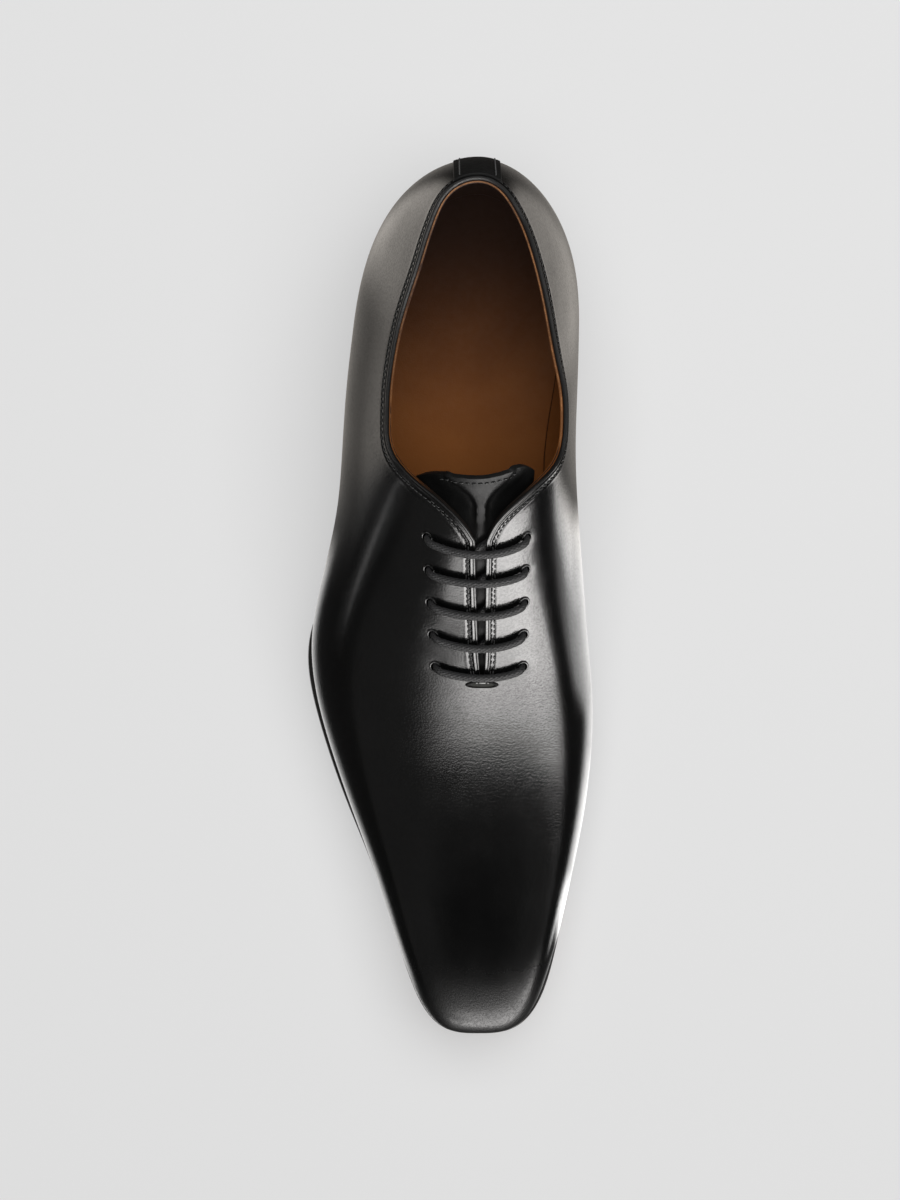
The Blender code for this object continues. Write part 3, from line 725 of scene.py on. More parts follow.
def tack_thread():
    """The tack's thread: black in the loop, a dull olive grey inside it."""
    f = Finish("tack_thread")
    ribs = f.noise(1.0, 2.0, stretch=(5200.0, 500.0, 500.0))
    colour = f.mix((0.030, 0.031, 0.027), (0.0015, 0.0015, 0.0015), f.mark())
    return f.surface(
        Base_Color=colour,
        Roughness=0.65,
        Specular_IOR_Level=0.20,
        Normal=f.bump(ribs, 0.00015, 0.6),
    )


def inked_edge():
    """Trimmed sole edge with hot ink and wax above, bare tan leather below the inked rim."""
    f = Finish("inked_sole")
    layers = f.noise(1.0, 3.0, stretch=(60.0, 60.0, 2200.0))
    wear = f.noise(160.0, 4.0, 0.6)
    bare = f.mark().smooth(0.84, 0.97)
    ink = f.mix((0.006, 0.0055, 0.005), (0.016, 0.014, 0.013), wear.smooth(0.4, 0.75))
    hide = f.mix((0.26, 0.125, 0.052), (0.36, 0.185, 0.085), wear.smooth(0.3, 0.7))
    return f.surface(
        Base_Color=f.mix(ink, hide, bare),
        Roughness=0.30 + 0.22 * bare + 0.10 * wear,
        Coat_Weight=0.3 - 0.25 * bare,
        Coat_Roughness=0.2,
        Normal=f.bump(layers * 0.5 + wear * 0.5, 0.0001, 0.4),
    )


def waxed_lifts():
    """Stacked leather lifts, inked and burnished: fine level lines."""
    f = Finish("waxed_lifts")
    layers = f.noise(1.0, 3.0, stretch=(40.0, 40.0, 2600.0))
    wear = f.noise(200.0, 4.0, 0.6)
    colour = f.mix((0.006, 0.0055, 0.005), (0.019, 0.016, 0.014), layers * wear.smooth(0.2, 0.7))
    return f.surface(
        Base_Color=colour,
        Roughness=0.30 + 0.14 * wear,
        Coat_Weight=0.35,
        Coat_Roughness=0.18,
        Normal=f.bump(layers, 0.00012, 0.4),
    )


def heel_rubber():
    """Matte black rubber with a fine moulded texture."""
    f = Finish("heel_rubber")
    cast = f.noise(1500.0, 3.0)
    wear = f.noise(120.0, 3.0)
    colour = f.mix((0.014, 0.014, 0.014), (0.030, 0.029, 0.028), wear)
    return f.surface(Base_Color=colour, Roughness=0.68 + 0.12 * wear, Normal=f.bump(cast, 0.0001, 0.6))


def pale_floor():
    """Matte pale paper, evened for the eye so that shadows stay faint, and plain far out.

    What the polished leather sees in it is a pattern of bright and dark cards.

    A card is the product of two soft steps across and two along, in metres from the last's own axis.
    """
    f = Finish("pale_floor")
    fine = f.noise(300.0, 2.0)
    paper = f.mix((0.80, 0.80, 0.80), (0.81, 0.81, 0.81), fine)
    across, along, _ = f.axes()
    across = across - SHIFT[0]

    def card(level, left, right, toe, heel, soft=0.012, lean=0.0):
        x = across + along * lean
        wide = x.smooth(left - soft, left + soft) * x.smooth(right + soft, right - soft)
        return wide * along.smooth(toe - soft, toe + soft) * along.smooth(heel + soft, heel - soft) * level

    seen = 0.03 + sum(card(*row) for row in FLOOR_CARDS)
    matte = f.node("BsdfDiffuse", None, {"Color": paper})
    tint = f.mix((1.0, 0.99, 0.98), (1.0, 0.935, 0.86), along.smooth(0.0, 0.06))
    lit = f.node("Emission", None, {"Color": tint, "Strength": seen})
    gloss = f.node("LightPath", out=3)
    seen_by_gloss = f.node("MixShader", None, {0: gloss, 1: matte, 2: lit})
    even = f.node("Emission", None, {"Color": (0.768, 0.768, 0.768), "Strength": 1.0})
    far = ((across * across + along * along) ** 0.5).smooth(0.25, 0.90, 0.60, 1.0)
    eye = f.node("LightPath", out=0)
    return f.end_in(f.node("MixShader", None, {0: eye * far, 1: seen_by_gloss, 2: even}))


# Level, left, right, toe end, heel end, softness and lean of each card on the floor
FLOOR_CARDS = (
    (0.85, -0.078, 0.000, -0.150, 0.020, 0.010, 0.22),
    (1.10, 0.000, 0.105, -0.040, 0.000, 0.008, 0.0),
    (1.20, 0.000, 0.062, -0.062, -0.040, 0.008, 0.0),
    (1.20, 0.000, 0.062, 0.000, 0.030, 0.008, 0.0),
    (0.55, 0.105, 0.145, -0.045, -0.005, 0.010, 0.0),
    (1.90, 0.000, 0.062, -0.104, -0.062, 0.010, 0.0),
    (3.00, 0.000, 0.060, -0.122, -0.104, 0.006, 0.0),
    (1.20, 0.030, 0.079, -0.160, -0.110, 0.003, -0.40),
    (2.00, 0.064, 0.135, 0.000, 0.030, 0.010, 0.0),
    (2.60, 0.055, 0.070, -0.134, -0.112, 0.006, 0.0),
    (0.28, -0.170, 0.130, 0.035, 0.170, 0.034, 0.0),
    (0.90, -0.320, -0.165, 0.030, 0.150, 0.040, 0.0),
    (1.10, -0.650, -0.270, -0.070, -0.042, 0.012, 0.0),
    (0.85, -0.200, -0.055, 0.135, 0.215, 0.020, 0.0),
    (0.50, 0.055, 0.120, 0.090, 0.190, 0.015, 0.0),
)


def studio():
    """Soft light from above for the eye, and one function of direction for the gloss.

    The gloss sees a dark ceiling over the camera, a wide bright window beyond the toe on the medial side
    with a curved upper edge, a short dimmer part of it on the lateral side, and the panels listed below.
    """
    light = bpy.data.worlds.new("studio")
    bpy.context.scene.world = light
    f = Finish("studio", light)
    x, y, up = f.axes()
    level = (x * x + y * y + 1e-6) ** 0.5

    def towards(aim, half, soft):
        """1 within half an angle of a compass direction, and soft at the ends."""
        turn = math.radians(aim)
        facing = (x * math.cos(turn) + y * math.sin(turn)) / level
        return facing.smooth(math.cos(math.radians(half + soft)), math.cos(math.radians(half - soft)))

    def panel(bright, aim, half, soft, top, bottom):
        """Bright within half an angle of a compass direction, between two angles from straight up."""
        near = towards(aim, half, soft)
        below = up.smooth(math.cos(math.radians(top - 4)), math.cos(math.radians(top + 4)))
        above = up.smooth(math.cos(math.radians(bottom + 4)), math.cos(math.radians(bottom - 4)))
        return near * below * above * bright

    walls = up.smooth(math.cos(math.radians(8)), math.cos(math.radians(36)), 0.030, 0.10)
    upper_edge = (x * x * 0.36 - y).smooth(0.652, 0.768)
    tall = towards(-57, 41, 8) * up.smooth(-0.12, 0.035)
    short = towards(-61, 47, 19) * up.smooth(0.454, 0.545)
    seen = walls + 6.2 * upper_edge * tall.maths("MAXIMUM", tall, short)
    seen = seen + sum(panel(*row) for row in PANELS)
    eye = f.node("LightPath", out=0)
    strength = seen + eye * (0.77 - seen)
    sky = f.node("Background", None, {"Color": (1.0, 0.980, 0.965), "Strength": strength})
    f.end_in(sky, "World")
    light.cycles_visibility.diffuse = False

    lamp = bpy.data.lights.new("overhead", "AREA")
    lamp.shape = "RECTANGLE"
    lamp.size = lamp.size_y = LAMP_SIZE
    lamp.energy = OVERHEAD
    over = bpy.data.objects.new("overhead", lamp)
    over.location = LAMP_PLACE
    over.visible_glossy = False
    over.visible_camera = False
    bpy.context.scene.collection.objects.link(over)


# Level, compass direction (0 medial, -90 toe), half width, softness, and the angles of its top and bottom
PANELS = (
    (2.4, -66.5, 20.5, 6.0, 66.0, 88.0),
    (1.0, 90.0, 80.0, 14.0, 26.0, 62.0),
    (0.35, -107.0, 15.0, 6.0, 59.0, 70.0),
    (5.2, -103.0, 12.0, 4.0, 71.0, 86.0),
)
OVERHEAD = 52.0
LAMP_SIZE = 2.2
LAMP_PLACE = (0.40, 0.42, 1.9)


def photo_camera():
    """Straight down from over the last's own axis, with the long side of the picture along the shoe."""
    data = bpy.data.cameras.new("photo_camera")
    data.sensor_fit = "VERTICAL"
    data.sensor_height = 36.0
    data.lens = 36.0 * CAMERA_HEIGHT / PICTURE_HEIGHT
    data.shift_x = -SHIFT[0] / PICTURE_HEIGHT
    camera = bpy.data.objects.new("photo_camera", data)
    camera.location = (SHIFT[0], SHIFT[1] - 0.0002, CAMERA_HEIGHT)
    bpy.context.scene.collection.objects.link(camera)
    bpy.context.scene.camera = camera


class Skin:
    """Grids of points and the quads between them, joined where they meet into one closed form."""

    def __init__(self):
        self.points = []
        self.faces = []
        self.marks = []
        self.count = 0

    def grid(self, points, mark=0.0):
        """Takes rows and columns of points, with marks that a finish can read, and gives their numbers."""
        rows, columns = points.shape[:2]
        self.marks.append(np.broadcast_to(np.asarray(mark, np.float32), (rows, columns)).ravel())
        numbers = self.count + np.arange(rows * columns).reshape(rows, columns)
        self.points.append(points.reshape(-1, 3))
        self.count += rows * columns
        return numbers

    def cover(self, numbers):
        """Quads between neighbouring rows and columns."""
        self.faces.append(quads(numbers))

    def bridge(self, *columns):
        """Quads along single columns of numbers."""
        self.cover(np.stack(columns, axis=1))

    def piece(self, name, finish, nodes=(), crease=40, turn=True):
        mesh = bpy.data.meshes.new(name)
        points = np.concatenate(self.points) + SHIFT
        mesh.from_pydata(points, [], np.concatenate(self.faces).tolist())
        mesh.attributes.new("mark", "FLOAT", "POINT").data.foreach_set("value", np.concatenate(self.marks))
        return dressed(mesh, name, finish, nodes, crease, turn)


def smoothed(mesh, crease):
    mesh.shade_smooth()
    mesh.set_sharp_from_angle(angle=math.radians(crease))


def dressed(mesh, name, finish, nodes=(), crease=40, turn=True):
    """Joins a mesh's doubles, turns its faces outwards, smooths it and gives it its finish and its body."""
    work = bmesh.new()
    work.from_mesh(mesh)
    bmesh.ops.remove_doubles(work, verts=work.verts, dist=2e-6)
    bmesh.ops.dissolve_degenerate(work, edges=work.edges, dist=1e-7)
    if turn:
        bmesh.ops.recalc_face_normals(work, faces=work.faces)
    work.to_mesh(mesh)
    work.free()
    smoothed(mesh, crease)
    mesh.materials.append(finish)
    obj = bpy.data.objects.new(name, mesh)
    bpy.context.scene.collection.objects.link(obj)
    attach(obj, "root")
    for node in nodes:
        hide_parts(node)
    return obj


def applied(obj):
    """Makes the modifiers' result the object's own mesh."""
    graph = bpy.context.evaluated_depsgraph_get()
    finished = bpy.data.meshes.new_from_object(obj.evaluated_get(graph))
    obj.modifiers.clear()
    old = obj.data
    obj.data = finished
    bpy.data.meshes.remove(old)
    finished.name = obj.name


def square_to(walk, reach):
    """The last's normal; at the back seam and the toe's tip it is read a little to the side."""
    least = np.select([walk < 0.001, walk > 2.999], [0.1, 1.0], 0.0)
    return last_normal(walk, np.copysign(np.maximum(np.abs(reach), least), reach))


# Relief of the turned edge: height, distance in from the edge, half width
EDGE_RELIEF = (
    (0.00020, 0.0006, 0.00034),
    (0.00024, 0.0017, 0.00034),
    (-0.00016, STITCH_IN, 0.00040),
    (0.00007, STITCH_IN + 0.0009, 0.00035),
)
EDGE_STEP = 0.00024


def turned_edge(inward, along):
    """Height of the calf above the last at a distance in from its open edge.

    A raised band with two soft ridges, a small step down where it ends, and the groove that the stitches
    pull, as a sum of bells; all of it fades out past the end of the slit.
    """
    band = EDGE_STEP * (1 - blend(inward, 0.0020, 0.0024))
    relief = sum(high * bell(inward, at, width) for high, at, width in EDGE_RELIEF)
    return (band + relief) * (1 - blend(along, SLIT_END - 0.001, SLIT_END + 0.002))


def eyelet_places():
    """Points on the last at all the eyelets, and the directions out of it, lateral and medial in turn."""
    pairs = [eyelet(number) for number in range(EYELET_COUNT)]
    along = np.array([pair[0] for pair in pairs for _ in range(2)])
    out = np.array([side * pair[1] for pair in pairs for side in (-1, 1)])
    return lifted(along, out, 0.0), lifted(along, out, 1.0) - lifted(along, out, 0.0)


def eyelet_frames(count):
    """Centres and axes of the eyelets, and this many unit spokes round each axis."""
    centre, axis = eyelet_places()
    first = unit(np.cross(axis, (0.0, 1.0, 0.0)))[:, None]
    second = np.cross(axis[:, None], first)
    turn = circle(count)[:, None]
    return centre, axis, first * np.cos(turn) + second * np.sin(turn)


# Folds over the vamp: distance along, slant across, depth, half width
CREASES = (
    (0.1965, 0.10, 0.00002, 0.0036),
    (0.2060, -0.08, 0.00003, 0.0044),
    (0.2170, 0.14, 0.00002, 0.0048),
)
CREASE_SPAN = 0.034
DIMPLE_DEPTH = 0.00022
DIMPLE_WIDTH = 0.0026


def hand_relief(points, along):
    """Soft troughs and ridges, as bells: a dimple round each eyelet and faint folds
    over the ball.
    """
    near = np.linalg.norm(points[..., None, :] - eyelet_places()[0], axis=-1)
    height = -DIMPLE_DEPTH * bell(near, 0, DIMPLE_WIDTH).sum(axis=-1)
    across = points[..., 0]
    for at, slant, deep, width in CREASES:
        height = height - deep * bell(along, at + slant * across, width) * bell(across, 0, CREASE_SPAN)
    return height


def wall_form(skin, walk, inward, rows_out, top, bottom, roll, levels=4):
    """One layer of the upper as a closed form.

    Columns lie at set distances in from the open edge, then evenly out to the widest line and down to the
    sole. Each point is the last's, moved along its normal by top(points, inward, along) outside and by
    bottom inside. The open edge rolls over in half an ellipse between the two.
    """
    along = stations(walk)[0]
    shut = int(np.argmin(np.abs(along - SLIT_END)))
    reaches = []
    for side in (-1, 1):
        edge = open_edge(walk, side)
        columns = [in_from_edge(walk, side, edge, d) for d in inward]
        share = np.linspace(0, 1, rows_out + 1)[1:]
        columns += [columns[-1] + (1 - columns[-1]) * t for t in share]
        columns += [np.full_like(walk, 1 + t) for t in np.linspace(0, 1, 12)[1:]]
        reaches.append(side * np.stack(columns, axis=1))
    reaches[1][0] = -reaches[0][0]
    count = reaches[0].shape[1]
    deep = np.concatenate([inward, np.full(count - len(inward), 1.0)])
    middle = [reaches[0][:, 0] * (1 - t) + reaches[1][:, 0] * t for t in (0.25, 0.5, 0.75)]
    all_reach = np.concatenate([reaches[0][:, ::-1], np.stack(middle, axis=1), reaches[1]], axis=1)
    inwards = np.concatenate([deep[::-1], np.full(3, inward[0]), deep])[None, :]
    grid_walk = np.broadcast_to(walk[:, None], all_reach.shape)
    place = last_point(grid_walk, all_reach)
    normal = square_to(grid_walk, all_reach)
    alongs = np.broadcast_to(along[:, None], all_reach.shape)
    foot = blend(np.abs(all_reach), 1.7, 2.0)
    high = top(place, inwards, alongs) * (1 - foot)
    outer = place + normal * high[..., None]
    inner = place + normal * bottom
    for layer in (outer, inner):
        floor = sole_top(LENGTH / 2 - layer[..., 1]) + GAP
        layer[..., 2] = np.where(np.abs(all_reach) > 1.9, np.maximum(layer[..., 2], floor), layer[..., 2])
    out_numbers, in_numbers = skin.grid(outer), skin.grid(inner, -np.abs(all_reach))
    skin.cover(out_numbers[shut:])
    skin.cover(in_numbers[shut:, ::-1])
    for part in (slice(0, count), slice(count + 3, None)):
        skin.cover(out_numbers[: shut + 1, part])
        skin.cover(in_numbers[: shut + 1, part][:, ::-1])
    for column in (0, -1):
        skin.bridge(out_numbers[:, column], in_numbers[:, column])

    angle = np.linspace(0, math.pi, levels + 2)[1:-1]
    for column, step in ((count - 1, -1), (count + 3, 1)):
        top_edge, low_edge = outer[: shut + 1, column], inner[: shut + 1, column]
        off = unit(top_edge - outer[: shut + 1, column + step])
        fade = 1 - blend(along[: shut + 1], SLIT_END - 0.008, SLIT_END)
        share = ((1 - np.cos(angle)) / 2)[None, :, None]
        rolled = top_edge[:, None] * (1 - share) + low_edge[:, None] * share
        rolled = rolled + (off * fade[:, None])[:, None] * (roll * np.sin(angle))[None, :, None]
        numbers = skin.grid(rolled, 1.0)
        ring = [out_numbers[: shut + 1, column]] + list(numbers.T) + [in_numbers[: shut + 1, column]]
        skin.bridge(*ring)
    across = slice(count - 1, count + 4)
    share = ((1 - np.cos(angle)) / 2)[:, None, None]
    cap = outer[shut, across][None] * (1 - share) + inner[shut, across][None] * share
    numbers = skin.grid(cap)
    skin.cover(np.concatenate([out_numbers[None, shut, across], numbers, in_numbers[None, shut, across]]))


def drill_mesh(radius):
    """Round cutters through both layers at the eyelets: a circle carried along each eyelet's axis."""
    centre, axis, spokes = eyelet_frames(24)
    ends = np.array([-3 * WALL, 2 * WALL])
    rings = centre[:, None, None] + axis[:, None, None] * ends[None, :, None, None]
    rings = rings + spokes[:, None] * radius
    points = rings.reshape(-1, 3) + SHIFT
    start = 48 * np.arange(len(centre))
    here = np.arange(24)
    after = np.roll(here, -1)
    sides = np.stack([here, after, after + 24, here + 24], axis=1)
    faces = (start[:, None, None] + sides).reshape(-1, 4).tolist()
    faces += [list(range(s + 23, s - 1, -1)) for s in start] + [list(range(s + 24, s + 48)) for s in start]
    mesh = bpy.data.meshes.new("eyelet_punch")
    mesh.from_pydata(points, [], faces)
    work = bmesh.new()
    work.from_mesh(mesh)
    bmesh.ops.recalc_face_normals(work, faces=work.faces)
    work.to_mesh(mesh)
    work.free()
    return mesh


def punched(obj, crease):
    """Cuts the eyelets through a layer."""
    punch = bpy.data.objects.new("eyelet_punch", drill_mesh(HOLE))
    bpy.context.scene.collection.objects.link(punch)
    cut = obj.modifiers.new("eyelets", "BOOLEAN")
    cut.operation = "DIFFERENCE"
    cut.solver = "EXACT"
    cut.object = punch
    applied(obj)
    bpy.data.objects.remove(punch)
    smoothed(obj.data, crease)


def upper_walks(heel, straight, lacing, vamp, toe):
    """Walks of the rows, with a set number on each stretch."""
    parts = [np.linspace(0, 1, heel)[:-1]]
    ends = (HEEL_ROUND, LACING_ROWS, SLIT_END, LENGTH - TOE_ROUND)
    for start, end, count in zip(ends, ends[1:], (straight, lacing, vamp)):
        parts.append(walk_at(np.linspace(start, end, count)[:-1]))
    return np.concatenate(parts + [3 - np.linspace(1, 0, toe)])


# Distances in from the open edge at which the calf and the lining have their first columns
EDGE_COLUMNS = 0.001 * np.array(
    (0.6, 0.8, 1.0, 1.15, 1.3, 1.5, 1.7, 1.9, 2.1, 2.3, 2.5)
    + (2.75, 3.0, 3.2, 3.4, 3.6, 3.85, 4.1, 4.4, 4.8, 5.4, 6.2)
)
LINING_COLUMNS = np.array((0.00045, 0.0009, 0.0016, 0.003))


def make_upper():
    """The calf and the lining inside it, both as wall_form says, with the eyelets punched through."""
    skin = Skin()
    walk = upper_walks(44, 40, 74, 60, 46)

    def calf(place, inwards, alongs):
        return turned_edge(inwards, alongs) + hand_relief(place, alongs)

    wall_form(skin, walk, EDGE_COLUMNS, 38, calf, -LEATHER, ROLL)
    punched(skin.piece("upper_calf", CALF, ("upper",), crease=50), 50)

    skin = Skin()
    walk = upper_walks(24, 22, 30, 24, 24)

    def face(place, inwards, alongs):
        return 0 * alongs - LEATHER - 0.00005

    wall_form(skin, walk, LINING_COLUMNS, 18, face, -WALL, 0.0001, levels=1)
    punched(skin.piece("lining", LINING, ("upper",), crease=35), 35)


def seam_line(inward):
    """Points and outward directions of a row at this distance in from the open edge, slit to slit."""
    walk = upper_walks(60, 50, 70, 3, 3)
    walk = walk[: int(np.argmin(np.abs(stations(walk)[0] - SLIT_END))) + 1]
    halves = []
    for side in (-1, 1):
        reach = side * in_from_edge(walk, side, open_edge(walk, side), inward)
        place, normal = last_point(walk, reach), square_to(walk, reach)
        along = stations(walk)[0]
        place = place + normal * (turned_edge(inward, along) + hand_relief(place, along))[:, None]
        halves.append((place, normal))
    points = np.concatenate([halves[0][0][::-1], halves[1][0][1:]])
    return points, np.concatenate([halves[0][1][::-1], halves[1][1][1:]])


def evenly(points, pitch, others):
    """Places at an even pitch along a line of points, with whatever else is known along it."""
    run = distance_along(points)
    at = np.linspace(0, run[-1], max(int(run[-1] / pitch), 1) + 1)
    at = (at[1:] + at[:-1]) / 2
    return [np.stack([np.interp(at, run, v[:, k]) for k in range(3)], axis=1) for v in (points, *others)]


def stitch_row(name, points, normals, finish=None):
    """Stitches sunk along a line: each a closed capsule, bowed down at both ends.

    A ring of six points at t from -1 to 1 has the radius THREAD * sqrt(1 - 0.85 t^4) and sits lower by
    1.4 * THREAD * t^2.
    """
    place, up, ahead = evenly(points, STITCH_PITCH, (normals, np.gradient(points, axis=0)))
    ahead = unit(ahead)
    chance = np.random.default_rng(11)
    aside = np.cross(up, ahead)
    ahead = ahead + aside * chance.normal(0, 0.07, len(place))[:, None]
    t = np.array((-1.0, -0.82, -0.4, 0.4, 0.82, 1.0))
    turn = circle(6)
    fat = THREAD * np.sqrt(1 - 0.85 * t**4)
    spoke = aside[:, None, None] * np.cos(turn)[None, None, :, None]
    spoke = spoke + up[:, None, None] * np.sin(turn)[None, None, :, None]
    middle = place[:, None] + ahead[:, None] * (t * STITCH_LENGTH / 2)[None, :, None]
    middle = middle + up[:, None] * (THREAD * (1.0 - 1.4 * t**2))[None, :, None]
    rings = middle[:, :, None] + spoke * fat[None, :, None, None]
    count = len(place)
    numbers = np.arange(count * 36).reshape(count, 6, 6)
    after = np.roll(numbers, -1, axis=2)
    sides = np.stack([numbers[:, :-1], after[:, :-1], after[:, 1:], numbers[:, 1:]], axis=-1)
    faces = sides.reshape(-1, 4).tolist() + numbers[:, 0, ::-1].tolist() + numbers[:, -1].tolist()
    mesh = bpy.data.meshes.new(name)
    mesh.from_pydata(rings.reshape(-1, 3) + SHIFT, [], faces)
    dressed(mesh, name, finish or BLACK_THREAD, crease=80)


def make_bar_tack():
    """A flat oval pad of thread across the end of the slit, with a raised black loop round it.

    At a share s of the way out to the oval the pad stands 0.15 mm high, plus 0.4 mm times
    exp(-((s - 0.84) / 0.13)^2) for the loop; the sheet then turns under and comes back to the middle.
    """
    turn = np.linspace(0, 2 * math.pi, 65)[None, :]
    share = np.concatenate([np.linspace(0, 1, 15), np.linspace(1, 0, 4)])[:, None]
    under = (np.arange(19) > 14)[:, None]
    rise = 0.00015 + 0.0004 * np.exp(-(((share - 0.84) / 0.13) ** 2)) - 0.0004 * blend(share, 0.92, 1.0)
    half = 0.0060 / half_at(SLIT_END)
    out = share * half * np.sign(np.cos(turn)) * np.abs(np.cos(turn)) ** 0.7
    along = SLIT_END + 0.0013 + share * 0.00115 * np.sign(np.sin(turn)) * np.abs(np.sin(turn)) ** 0.8
    skin = Skin()
    pad = lifted(along, out, np.where(under, -0.0006, rise) + 0 * turn)
    skin.cover(skin.grid(pad, blend(share, 0.60, 0.72) + 0 * turn))
    skin.piece("bar_tack", TACK, crease=60)


def make_eyelet_rims():
    """The pressed lip round each hole: a small circle carried round a larger one, square to its axis."""
    centre, axis, spoke = eyelet_frames(32)
    around = circle(8)[:, None]
    middle = centre[:, None] + axis[:, None] * LIP_RISE + spoke * (HOLE + LIP_OUT)
    tube = spoke[:, :, None] * np.cos(around) + axis[:, None, None] * np.sin(around)
    rings = middle[:, :, None] + LIP_RADIUS * tube
    skin = Skin()
    for ring in rings:
        numbers = skin.grid(ring)
        skin.cover(closed_round(np.concatenate([numbers, numbers[:1]])))
    skin.piece("eyelet_rims", CALF, crease=80)


def sheet(obj, thickness, offset, edge):
    """Gives a one-sided surface its thickness, with rounded edges."""
    solidify = obj.modifiers.new("thickness", "SOLIDIFY")
    solidify.thickness = thickness
    solidify.offset = offset
    bevel = obj.modifiers.new("edges", "BEVEL")
    bevel.width = edge
    bevel.segments = 3
    bevel.limit_method = "ANGLE"
    bevel.angle_limit = math.radians(50)
    applied(obj)


def tongue_face(down, across, sink=0.0):
    """Points of the tongue's upper face, from its free edge (0) to its end under the vamp (1).

    It lies below the last by the wall and by room for the lace where that passes. A flat panel runs down
    its middle, narrower towards the lacing, and the wings on both sides sink softly below the panel. The
    free edge dips in the middle by (1 - (across / 0.8)^2)^2.
    """
    last_pair = eyelet(EYELET_COUNT - 1)[0]
    end = SLIT_END + TONGUE_LAP
    start = SLIT_START - TONGUE_RISE + TONGUE_DIP * (1 - (across / 0.8) ** 2) ** 2 + 0.0022 - 0.0012 * across
    along = start + (end - start) * down
    out = across * smooth_curve(TONGUE_WIDTH, 1, down)
    room = LACE_DIAMETER + 2 * LACE_CLEARANCE - GAP
    under_lace = blend(along, SLIT_START - TONGUE_RISE, SLIT_START - 3 * room)
    under_lace = under_lace - blend(along, last_pair + room, last_pair + 4 * room)
    wide = np.abs(out) * half_at(along)
    panel = 0.0019 + 0.0126 * (1 - blend(along, 0.1115, 0.1275))
    wings = 0.0014 * blend(wide - panel, -0.0002, 0.0016) * blend(along, 0.140, 0.128)
    wings = wings + 0.0009 * blend(wide - panel, 0.002, 0.010) * blend(along, 0.140, 0.128)
    depth = WALL + GAP + room * (0.3 + 0.7 * under_lace) + wings
    return lifted(along, out, -depth - sink)


def make_tongue():
    """A curved sheet under the lacing, with a turned and stitched free edge."""
    down, across = np.meshgrid(np.linspace(0, 1, 90), np.linspace(-1, 1, 61), indexing="ij")
    skin = Skin()
    skin.cover(skin.grid(tongue_face(down, across)))
    obj = skin.piece("tongue_calf", SOFT_CALF, ("tongue",), turn=False)
    sheet(obj, TONGUE_THICKNESS - 0.0001, -1, 0.0006)
    across = np.linspace(-0.62, 0.62, 120)
    down = 0.023 + 0 * across
    line = tongue_face(down, across, -0.0001)
    stitch_row("tongue_stitches", line, unit(line - tongue_face(down, across, 0.001)))


def lace_path():
    """The lace's route as rows: distance along, share across, height, and how far its frame is turned."""
    over = BAND_RISE + 0.00005 + LACE_FULL / 2
    under = -(WALL + LACE_CLEARANCE + LACE_DIAMETER / 2)
    middle = (over + under) / 2
    quarter = np.linspace(0, math.pi / 2, 6)
    rows = []

    def droop(number, share):
        """How far a bar hangs below its eyelets, at a share of the way from the slit out to them.

        The bends take up some of it, which the 1.12 gives back.
        """
        return 1.12 * LACE_SAGS[number] * (1 - share**2) ** 0.85

    def bend(along, out, side, level, way, backward=False, number=None):
        slip = LACE_BEND * (1 - np.cos(quarter))
        share = 1 - slip / half_at(along) / out
        hang = 0 * slip if number is None else droop(number, share)
        places = along - slip if backward else along + hang
        outs = side * out + 0 * slip if backward else side * out * share
        turned = np.full(6, 1.0 if backward else 0.0)
        turned[:2] = 0.5 if backward else turned[:2]
        height = middle + (level - middle) * np.sin(quarter)
        rows.append(np.stack([places, outs, height, turned], axis=1)[::way])

    bend(*eyelet(0), -1, under, -1, backward=True)
    for number in range(EYELET_COUNT):
        along, out = eyelet(number)
        inside = out - LACE_BEND / half_at(along)
        bend(along, out, -1, over, 1, number=number)
        t = np.linspace(-1, 1, 21)[1:-1]
        hang = droop(number, t * inside / out)
        rows.append(np.stack([along + hang, t * inside, over + 0 * t, 0 * t], axis=1))
        bend(along, out, 1, over, -1, number=number)
        if number == EYELET_COUNT - 1:
            break
        bend(along, out, 1, under, 1)
        along_after, out_after = eyelet(number + 1)
        inside_after = out_after - LACE_BEND / half_at(along_after)
        t = np.linspace(0, 1, 21)[1:-1]
        across = inside * (1 - t) - inside_after * t
        slant = along + (along_after - along) * blend(t, 0, 1)
        rows.append(np.stack([slant, across, under + 0 * t, 0 * t], axis=1))
        bend(along_after, out_after, -1, under, -1)
    bend(along, out, 1, under, 1, backward=True)
    top_along, top_out = eyelet(0)
    t = np.linspace(0, 1, 25)[1:]
    back = (along - LACE_BEND) * (1 - t) + top_along * t
    across = out * (1 - t) + top_out * t + LACE_SIDE / half_at(along) * blend(t, 0, 0.16)
    rows.append(np.stack([back, across, under + 0 * t, 1 + 0 * t], axis=1))
    return np.concatenate(rows)


